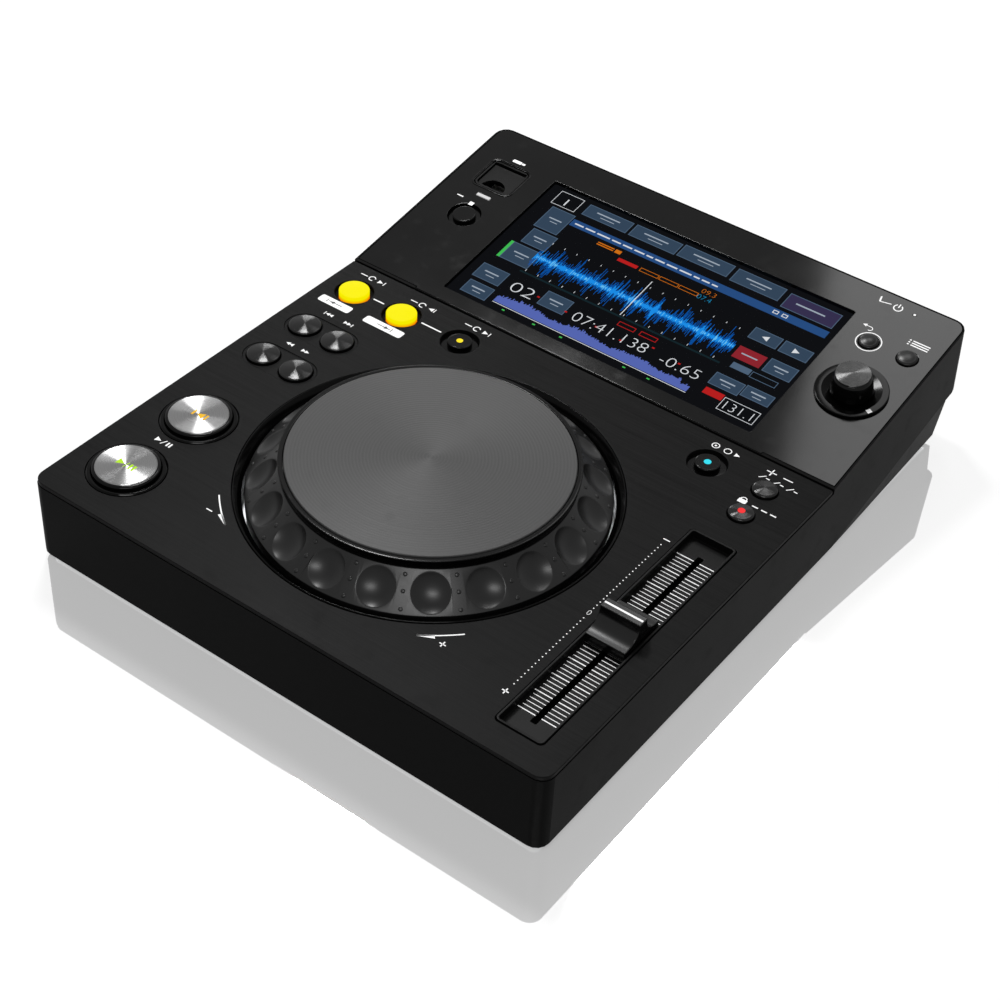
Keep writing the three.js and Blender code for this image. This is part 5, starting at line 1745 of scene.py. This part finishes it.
@dataclass(frozen=True)
class Keys:
    """All keys of the deck and of the head, with their marks."""

    lime: Colour = shade(176, 226, 0)
    amber: Colour = shade(238, 182, 0)

    def build(self) -> None:
        """Make the keys, the collars and the marks."""
        for node, form in {**DECK_KEYS, **HEAD_KEYS}.items():
            Key(node, form).build()
        for node, collar in DISC_KEYS.items():
            Key(node, DISC_KEY, FINISHES["ring_key_black"]).build()
            self._disc(node)
            self._collar(collar)
        self._disc_marks()
        self._ring_marks()

    @staticmethod
    def _disc(node: str) -> None:
        """The spun metal disc on a large key.

        Args:
            node: The key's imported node.
        """
        low, top, radius = DISC_KEY.rise - 0.2, DISC_RISE, DISC_RADIUS
        profile = [(0, low), (radius, low), (radius, top - 0.3), (radius - 0.35, top), (0, top)]
        foot = Key(node, DISC_KEY).foot
        disc = Bench.smooth(Bench.turned(node + "_disc", profile, foot, ROUND * 2))
        finish = replace(FINISHES["disc_metal"], name="disc_" + node, centre=tuple(foot))
        fitted(disc, body_of(node), "disc_metal", finish)

    @staticmethod
    def _collar(node: str) -> None:
        """The glossy collar round a large key.

        Args:
            node: The collar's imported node.
        """
        inner, outer = DISC_KEY.outer + RUNNING_FIT, COLLAR_RADIUS
        profile = [(inner, -SKIN), (outer, -SKIN), (outer, 0.0), (outer - 0.6, 0.5), (inner, 0.5)]
        ring = Bench.turned(node + "_look", rounded(profile, 0.2, 3, True), deck_foot(node), ROUND * 2)
        stand_in(Bench.smooth(ring), node)

    def _disc_marks(self) -> None:
        """Lit marks in the middle of the two large keys."""
        for name, side, colour in (("play", Side.RIGHT, self.lime), ("cue", Side.LEFT, self.amber)):
            key = Key(name + "_button", DISC_KEY)
            x, y, _ = key.foot
            mark = key.stencil(name + "_mark", 0.02)
            if side is Side.RIGHT:
                mark.arrow(x - 2.4, y, 3.4, side)
                mark.line((x - 0.2, y - 1.7), (x + 0.6, y + 1.7), 0.35)
                mark.bars(*[(about(x + k, 0.5), about(y, 1.6)) for k in (2.2, 4.0)])
            else:
                mark.arrow(x + 1.0, y, 3.4, side)
                mark.bars(*[((x + k, x + k + 0.9), about(y, 1.7)) for k in (-2.6, 3.4)])
            glow = Lit(name + "_glow", colour, 0.35, specular=0.1, glow=0.8, body=0.2, spread=0.05)
            mark.done(body_of(key.node), "key_lit", glow)

    @staticmethod
    def _ring_marks() -> None:
        """The lit middles of the loop-again key and the wheel-mode key, and of the lock key."""
        lights = {
            "reloop_button": (RING_KEY, shade(255, 224, 0), 1.4),
            "jog_mode_button": (RING_KEY, shade(32, 214, 232), 1.5),
            "tempo_lock_button": (SMALL_KEY, shade(236, 24, 28), 1.5),
        }
        for node, (form, colour, radius) in lights.items():
            key = Key(node, form)
            x, y, _ = key.foot
            mark = key.stencil(node.replace("button", "light"), 0.05, 0.09)
            mark.dot(x, y, radius, SMALL_ROUND)
            name = node.replace("button", "glow")
            glow = Lit(name, colour, 0.3, specular=0.1, glow=0.85, body=0.2, spread=0.1)
            mark.done(body_of(node), "key_lit", glow)


@dataclass(frozen=True)
class Head:
    """The glossy face plate, its port and the marks printed on it."""

    window: tuple[Pair, Pair] = ((-77.0, 77.0), (7.7, 90.0))
    corner: float = 5.0
    step: float = 86.5
    pilot: Pair = (98.1, 101.5)
    bead: float = 1.3

    def build(self) -> None:
        """Make the plate, the port and the marks."""
        self._plate()
        self._port()
        self._prints()

    def _plate(self) -> None:
        """The plate with its window and its other openings."""
        low, high = SLOPE.places("face_plate")
        side, rear, front, step = high.x, high.y, low.y, self.step
        turns = [math.radians(90 * k / 8) for k in range(9)]
        corner = [(self.corner * (1 - math.sin(a)), self.corner * (1 - math.cos(a))) for a in turns]
        right = [(side - dx, rear - dy) for dx, dy in reversed(corner)]
        left = [(dx - side, rear - dy) for dx, dy in corner]
        lip = [(-side, front + 1), (-step, front + 1), (-step, front)]
        lip += [(-x, s) for x, s in reversed(lip)]
        plate = Bench.outline("face_plate_look", [*lip, *right, *left], (-SKIN, 0))
        through = (-SKIN - 1, 1)
        holes = [Bench.tile("window", *self.window, through, 0.8)]
        for node, form in HEAD_KEYS.items():
            holes.append(Bench.cylinder("hole", SLOPE.foot(node), form.hole, through))
        holes.append(Bench.cylinder("hole", SLOPE.foot("selector_dish"), DISH_RADIUS + FIT, through))
        for node, radius in (("port_well", 3.0), ("port_lamp", 0.0)):
            holes.append(Bench.tile("hole", *footprint(*SLOPE.places(node), FIT), through, radius))
        holes.append(Bench.cylinder("hole", self.pilot, 0.8, through, SMALL_ROUND))
        Bench.shaped(plate, holes)
        Bench.softened(plate, 0.2)
        SLOPE.lay(plate)
        stand_in(Bench.flat_smooth(plate), "face_plate")

    def _port(self) -> None:
        """The port's well and its lid, with soft edges, and a bead round them."""
        refined("port_cover", 0.12)
        refined("port_well", 0.15)
        well = SLOPE.places("port_well")
        bead = Bench.tile("port_bead", *footprint(*well, self.bead), (0, 0.25), 4.2)
        Bench.shaped(bead, [Bench.tile("room", *footprint(*well, self.bead - 0.45), (-1, 1), 3.8)])
        Bench.softened(bead, 0.1)
        SLOPE.lay(bead)
        fitted(Bench.smooth(bead), "chassis", "face_black")

    def _prints(self) -> None:
        """White marks on the face plate."""
        marks = Stencil("head_marks", 0, 0.04, True)
        x, s = -98.0, 91.2
        marks.bar((x - 3.4, x + 1.2), about(s, 0.9), 0.4)
        marks.bar((x + 1.5, x + 3.2), about(s, 0.6))
        marks.bars(((-108.6, -105.3), (58.5, 59.1)), ((-100.6, -98.4), (55.9, 58.1)))
        marks.ring(90.2, 77.4, 5.35, 0.45)
        marks.ring(86.8, 84.4, 1.1, 0.35, math.pi * 1.1, -math.pi * 0.6)
        marks.bar((84.2, 86.8), (85.3, 85.65))
        marks.arrow(83.9, 85.5, 1.8, Side.LEFT)
        for k in range(3):
            y = (84.9 + k * 1.3, 85.5 + k * 1.3)
            marks.bars(((103.6, 104.4), y), ((105.2, 113.0), y))
        marks.line((81.3, 103.9), (82.0, 100.9), 0.7)
        marks.line((82.0, 100.9), (87.0, 101.9), 0.45)
        marks.ring(90.4, 101.4, 1.85, 0.5, TAU * 0.82, math.pi * 0.68)
        marks.bar((90.15, 90.65), (101.6, 103.9))
        marks.dot(*self.pilot, 0.6)
        marks.done("chassis", "lamp_white", INK)
        index = Stencil("selector_index", 1.3, 0.03, True)
        index.bar((109.5, 111.5), (41.3, 43.3), turn=math.radians(-30))
        index.done("chassis", "lamp_white", INK)


@dataclass(frozen=True)
class Selector:
    """The push-and-turn selector in its dish."""

    flutes: int = 32

    @property
    def place(self) -> Vector:
        """Where its axis meets the face plate, in the head's own places."""
        return SLOPE.foot("selector_dish")

    def build(self) -> None:
        """Make the dish, the fluted knob and its cap."""
        self._dish()
        self._knob()
        self._cap()

    def _made(
        self, node: str, profile: Profile, steps: int = ROUND * 2, cutters: Sequence[Object] = ()
    ) -> None:
        """Turn a piece, cut its flutes, lay it on the head and let it stand for its node.

        Args:
            node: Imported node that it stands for.
            profile: Radii and heights.
            steps: Steps round the axis.
            cutters: Shapes to cut away.
        """
        piece = Bench.turned(node + "_look", profile, self.place, steps)
        if cutters:
            Bench.shaped(piece, cutters)
        finish = FINISHES[SLOT_OF[node]]
        if isinstance(finish, Turned):
            finish = replace(finish, centre=tuple(SLOPE.point(self.place.x, self.place.y, 10.5)))
        stand_in(Bench.smooth(SLOPE.lay(piece)), node, finish)

    def _dish(self) -> None:
        """The glossy dish."""
        bowl = 0.4
        profile = [(3.75, bowl - 3.1), (DISH_RADIUS, bowl - 3.1), (DISH_RADIUS, FIT), (15.15, FIT)]
        profile += [(15.15, 1.0), (14.85, 1.3), (12.2, 1.3), (8.8, bowl), (3.75, bowl)]
        self._made("selector_dish", rounded(profile, 0.3, 3, True))

    def _knob(self) -> None:
        """The knob with flutes down its side."""
        profile = [(0, -9.6), (2.4, -9.6), (2.4, 1.5), (8.8, 1.5)]
        profile += rounded([(8.8, 1.5), (7.95, 8.6), (7.15, 9.6), (0, 9.6)], 0.8, 4)[1:]
        cutters = []
        for i in range(self.flutes):
            turn = i * TAU / self.flutes
            place = self.place + Vector((math.cos(turn), math.sin(turn), 0)) * 9.35
            cutters.append(Bench.cylinder("flute", place, 0.75, (2.2, 11), 12))
        self._made("selector_knob", profile, self.flutes * 6, cutters)

    def _cap(self) -> None:
        """The spun cap, a shallow cone."""
        profile = [(0, 9.62), (7.3, 9.62), (7.3, 10.1), (7.1, 10.25), (3.6, 10.53), (0, 10.8)]
        self._made("selector_cap", profile)


SCREEN_INK: dict[str, Colour] = {
    "back": shade(17, 18, 21),
    "button": shade(56, 75, 96),
    "button_dark": shade(22, 40, 46),
    "edge": shade(84, 106, 130),
    "title": shade(42, 82, 138),
    "purple": shade(58, 52, 84),
    "white": shade(232, 236, 240),
    "pale": shade(168, 180, 194),
    "wave": shade(10, 92, 184),
    "wave_pale": shade(30, 150, 246),
    "wave_tip": shade(120, 210, 255),
    "periwinkle": shade(92, 110, 190),
    "red": shade(196, 34, 34),
    "maroon": shade(150, 40, 50),
    "orange": shade(222, 120, 24),
    "cyan": shade(30, 150, 200),
    "green": shade(70, 200, 90),
}
SCREEN_BUTTONS: Spans = (
    ((-70.5, -58), (63.8, 78.8)),
    ((-69, -56), (52.2, 62.5)),
    ((-71, -56), (39, 50.6)),
    ((-74, -60), (23.3, 32.6)),
    ((-72.7, -59.5), (13, 21)),
    ((-57, -33.5), (81.4, 89)),
    ((-32, -8), (81.4, 89.2)),
    ((-7, 18.5), (81.8, 89.8)),
    ((20.5, 44.5), (81, 89.5)),
    ((60.5, 73.6), (42.6, 51)),
    ((46, 60), (24.6, 32)),
    ((60.5, 73.7), (25.9, 32.5)),
    ((-40, -26.6), (24.1, 33.4)),
)
ARROW_BUTTONS: Spans = (((45.4, 58.9), (55.9, 63)), ((60, 73.5), (55.9, 63)))


class Wave(Enum):
    """The two pictures of loudness: left and right end, base line and pitch of the bars."""

    ZOOM = (-58.0, 44.0, 48.0, 0.34)
    OVERVIEW = (-56.5, 41.7, 15.4, 0.5)


@dataclass(frozen=True)
class Screen:
    """The picture under the glass: thin lit pieces on the display."""

    level: float = -3.76
    seed: int = 11
    frame_line: float = 0.35
    wave_bar: float = 0.26
    layer_pitch: float = 0.02
    layer_depth: float = 0.015

    def _layer(self, name: str, depth: int) -> Stencil:
        """Start a layer; a higher depth is nearer the glass."""
        level = self.level + depth * self.layer_pitch
        return Stencil("screen_" + name, level, self.layer_depth, True)

    @staticmethod
    def _done(stencil: Stencil, ink: str) -> None:
        """Finish a layer in one colour."""
        finish = Lit(stencil.name, SCREEN_INK[ink], 0.5, specular=0.0, body=0.0, spread=0.1, ior=1.0)
        stencil.done("chassis", "screen_glass", finish)

    def _plain(self, name: str, depth: int, ink: str, *spans: tuple[Pair, Pair]) -> None:
        """Make a whole layer of plain bars.

        Args:
            name: Name of the layer.
            depth: Its place in the stack.
            ink: Its colour.
            spans: The bars.
        """
        layer = self._layer(name, depth)
        layer.bars(*spans)
        self._done(layer, ink)

    def build(self) -> None:
        """Build the layers from the back to the front."""
        self._plain("back", 0, "back", ((-79, 79), (5.4, 92.2)))
        self._buttons()
        self._strips()
        self._waves()
        self._figures()

    def _buttons(self) -> None:
        """Buttons down both sides and along the rear."""
        fill = self._layer("buttons", 1)
        edge = self._layer("button_edges", 2)
        word = self._layer("button_words", 3)
        mark = self._layer("button_marks", 3)
        for x, y in (*ARROW_BUTTONS, *SCREEN_BUTTONS):
            fill.bar(x, y)
            edge.frame(x, y, self.frame_line)
        for x, y in SCREEN_BUTTONS:
            across, along = (x[0] + x[1]) / 2, (y[0] + y[1]) / 2
            run = (x[1] - x[0]) * 0.26
            word.bar(about(across, run), (along + 0.3, along + 1.0))
            word.bar((across - run * 0.5, across + run * 0.7), (along - 1.6, along - 1.2))
        edge.frame((47, 72), (79, 88.5), self.frame_line)
        edge.bar((48.6, 57.6), (37.2, 40.6))
        edge.frame((58.2, 70.4), (36.6, 40.2), 0.3)
        word.bars(((52, 66), (83.6, 84.4)), ((48.6, 56.2), (46.2, 46.9)))
        for layer, ink in ((fill, "button"), (edge, "edge"), (word, "pale")):
            self._done(layer, ink)
        self._plain("purple", 1, "purple", ((47, 72), (79, 88.5)))
        self._plain("red", 1, "red", ((-26.7, -16.5), (65, 67)), ((47, 56), (18.8, 22.5)))
        self._plain("maroon", 1, "maroon", ((45.8, 59), (42.8, 50.2)))
        self._plain("green", 2, "green", ((-72.5, -71), (39, 50.6)))
        mark.frame((-73, -60.5), (80.4, 89.6), 0.25)
        mark.frame((56.6, 73.6), (14.2, 21.7), 0.25)
        mark.arrow(52, 59.4, 3, Side.LEFT)
        mark.arrow(67, 59.4, 3, Side.RIGHT)
        self._done(mark, "white")

    def _strips(self) -> None:
        """The title strip, the zoom strip and the outlined blocks over the wave."""
        self._plain("title", 1, "title", ((-57.5, 72.4), (72.6, 77)))
        words = self._layer("title_marks", 2)
        rng = random.Random(self.seed)
        x = -55.5
        while x < 20:
            run = rng.uniform(2.5, 7)
            words.bar((x, x + run), (74.3, 75.1))
            x += run + 1.2
        for x in (46.2, 50.6):
            words.frame((x, x + 2.6), (74, 76), 0.4)
        self._done(words, "white")
        blocks = self._layer("blocks", 2)
        for k in range(3):
            blocks.frame((-15 + k * 10, -5.5 + k * 10), (64.8, 67), 0.25)
        blocks.bar((-30.6, -27.6), (68.6, 70.8))
        for s in (68.8, 70.0):
            blocks.bar((-40, -31.4), (s, s + 0.6))
        blocks.digits("09.3", (14.6, 21.4), (68.0, 70.6))
        self._done(blocks, "orange")
        beats = self._layer("beats", 2)
        beats.digits("07.4", (14.6, 21.4), (64.2, 66.8))
        self._done(beats, "cyan")
        self._plain("zoom_strip", 1, "button_dark", ((-58, 44), (36.4, 37.4)))

    def _waves(self) -> None:
        """Both pictures of the music's loudness, as thin bars."""
        rng = random.Random(self.seed)
        wide = self._layer("wave", 1)
        core = self._layer("wave_core", 2)
        left, right, middle, step = Wave.ZOOM.value
        tips = self._layer("wave_tips", 3)
        for k in range(int((right - left) / step)):
            x = left + k * step
            beat = 0.4 + 0.6 * abs(math.sin(x * 0.29)) ** 2
            up, down = [1.6 + 9.4 * beat * rng.random() ** 1.8 for _ in range(2)]
            wide.bar((x, x + self.wave_bar), (middle - down, middle + up))
            inner = min(up, down) * rng.uniform(0.3, 0.75)
            core.bar((x, x + step), about(middle, inner))
            if rng.random() < 0.3:
                tips.bar((x, x + self.wave_bar), about(middle, inner * 0.6))
        for layer, ink in ((wide, "wave"), (core, "wave_pale"), (tips, "wave_tip")):
            self._done(layer, ink)
        small = self._layer("overview", 1)
        left, right, base, step = Wave.OVERVIEW.value
        for k in range(int((right - left) / step)):
            x = left + k * step
            level = 0.55 + 0.25 * math.sin(x * 0.11) ** 2 - (0.3 if x > 36 else 0)
            reach = 8.5 * level * rng.uniform(0.72, 1)
            small.bar((x, x + step), (base, base + reach))
        self._done(small, "periwinkle")
        lines = self._layer("wave_lines", 3)
        lines.bar((-6.4, -6.0), (37.7, 62.2))
        lines.bar((left, right), (base - 0.7, base - 0.4))
        for k in range(16):
            x = -56 + k * 6.4
            lines.bar((x, x + 0.25), (37.8, 39))
            lines.bar((x, x + 0.25), (58, 59))
        self._done(lines, "white")
        cues = self._layer("cue_marks", 3)
        for x, y in ((-42, 29.5), (-27, 28.5), (-11, 28), (2, 27), (16, 30.8), (30, 29)):
            cues.bar((x, x + 1.2), (y - 2.2, y - 1.4))
        for x in (-4, 7):
            cues.frame((x, x + 8.5), (32.0, 34.6), 0.3)
        self._done(cues, "red")
        loops = [((x, x + 1.4), (12.6, 13.3)) for x in (-50, -34, -20, 12, 24)]
        self._plain("loop_marks", 3, "green", *loops)

    def _figures(self) -> None:
        """Plain figures: deck, track, time, change of tempo and tempo."""
        marks = self._layer("figures", 3)
        marks.digits("1", (-67.2, -66.5), (81.8, 86.2))
        marks.digits("02", (-55.3, -43.6), (24.2, 30.2))
        marks.digits("07:41.138", (-22.4, 14.8), (24.0, 29.6))
        marks.digits("-0.65", (22.4, 41.4), (23.2, 28.6))
        marks.digits("131.1", (58.6, 71.6), (15.6, 20.2))
        self._done(marks, "white")


@dataclass(frozen=True)
class Studio:
    """Floor, lights and camera of the picture."""

    eye: Triple = (0.3537, -0.5284, 0.5459)
    right: Triple = (0.8007353, 0.5972251, 0.0463148)
    down: Triple = (0.4206363, -0.5055528, -0.7533137)
    forward: Triple = (-0.4264833, 0.6226865, -0.6560285)
    lens: float = 73.49
    gloss: float = 0.45
    paper: float = 0.7
    ambient: float = 0.22

    def build(self) -> None:
        """Set up the whole studio."""
        self._floor()
        self._world()
        self._camera()
        self._light("key_light", (-0.54, 0.42, 1.1), 0.2, 0.2, 13)
        self._light("low_light", (-0.92, 1.0, 0.47), 0.2, 0.2, 1.5)
        self._light("panel_light", (-0.22, 0.78, 1.1), 0.28, 0.4, 3)
        self._light("front_light", (0.41, -0.74, 1.18), 0.62, 0.28, 10)
        bpy.context.scene.view_settings.view_transform = "Standard"

    def _floor(self) -> None:
        """A pale floor that mirrors the object faintly and keeps its shadow."""
        floor = Bench.plane("floor", 12)
        paint = Paint("floor")
        white = paint.mix((0.97, 0.97, 0.97), (1, 1, 1), paint.noise(paint.place(), 0.01, 2))
        diffuse = paint.node("BsdfDiffuse", None, {"Color": white})
        paper = paint.node("Emission", None, {"Color": white, "Strength": paint.seen()})
        matte = paint.node("MixShader", None, {0: self.paper, 1: diffuse.outputs[0], 2: paper.outputs[0]})
        mirror = paint.node("BsdfGlossy", None, {"Color": white, "Roughness": 0.02})
        mixed = paint.node("MixShader", None, {0: self.gloss, 1: matte.outputs[0], 2: mirror.outputs[0]})
        floor.data.materials.append(paint.close(mixed))

    def _world(self) -> None:
        """White behind everything, and a weaker light on matte surfaces."""
        world = bpy.data.worlds.new("studio")
        bpy.context.scene.world = world
        paint = Paint("studio", world)
        strength = paint.node("Mix", None, {0: paint.seen(), 2: self.ambient, 3: 1.0}).outputs[0]
        sky = paint.node("Background", None, {"Color": (1, 1, 1, 1), "Strength": strength})
        paint.close(sky, "OutputWorld")

    def _camera(self) -> None:
        """The camera at the photograph's angle."""
        data = bpy.data.cameras.new("camera")
        data.lens = self.lens
        data.clip_start = 0.01
        camera = bpy.data.objects.new("camera", data)
        bpy.context.collection.objects.link(camera)
        columns = (Vector(self.right), -Vector(self.down), -Vector(self.forward))
        turn = Matrix(columns).transposed().to_4x4()
        camera.matrix_world = Matrix.Translation(self.eye) @ turn
        bpy.context.scene.camera = camera

    @staticmethod
    def _light(name: str, place: Sequence[float], width: float, depth: float, power: float) -> None:
        """Add a softbox that points at the object.

        Args:
            name: Name of the light.
            place: Its place, in metres.
            width: Its width.
            depth: Its other side.
            power: Its power, in watts.
        """
        data = bpy.data.lights.new(name, "AREA")
        data.shape = "RECTANGLE"
        data.size, data.size_y, data.energy = width, depth, power
        light = bpy.data.objects.new(name, data)
        bpy.context.collection.objects.link(light)
        light.location = place
        light.rotation_euler = (-Vector(place)).to_track_quat("-Z", "Y").to_euler()


def dress_nodes() -> None:
    """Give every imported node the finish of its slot."""
    for name, node in frame["nodes"].items():
        node.data.materials.clear()
        node.data.materials.append(FINISHES[SLOT_OF[name]].material())


def main() -> None:
    """Build the looks in order."""
    logging.basicConfig(level=logging.INFO)
    bpy.ops.object.select_all(action="DESELECT")
    dress_nodes()
    for assembly in (Case, Deck, JogWheel, TempoSlider, Keys, Head, Selector, Screen, Studio):
        assembly().build()
        LOG.info("%s built", assembly.__name__)


if __name__ == "__main__":
    main()
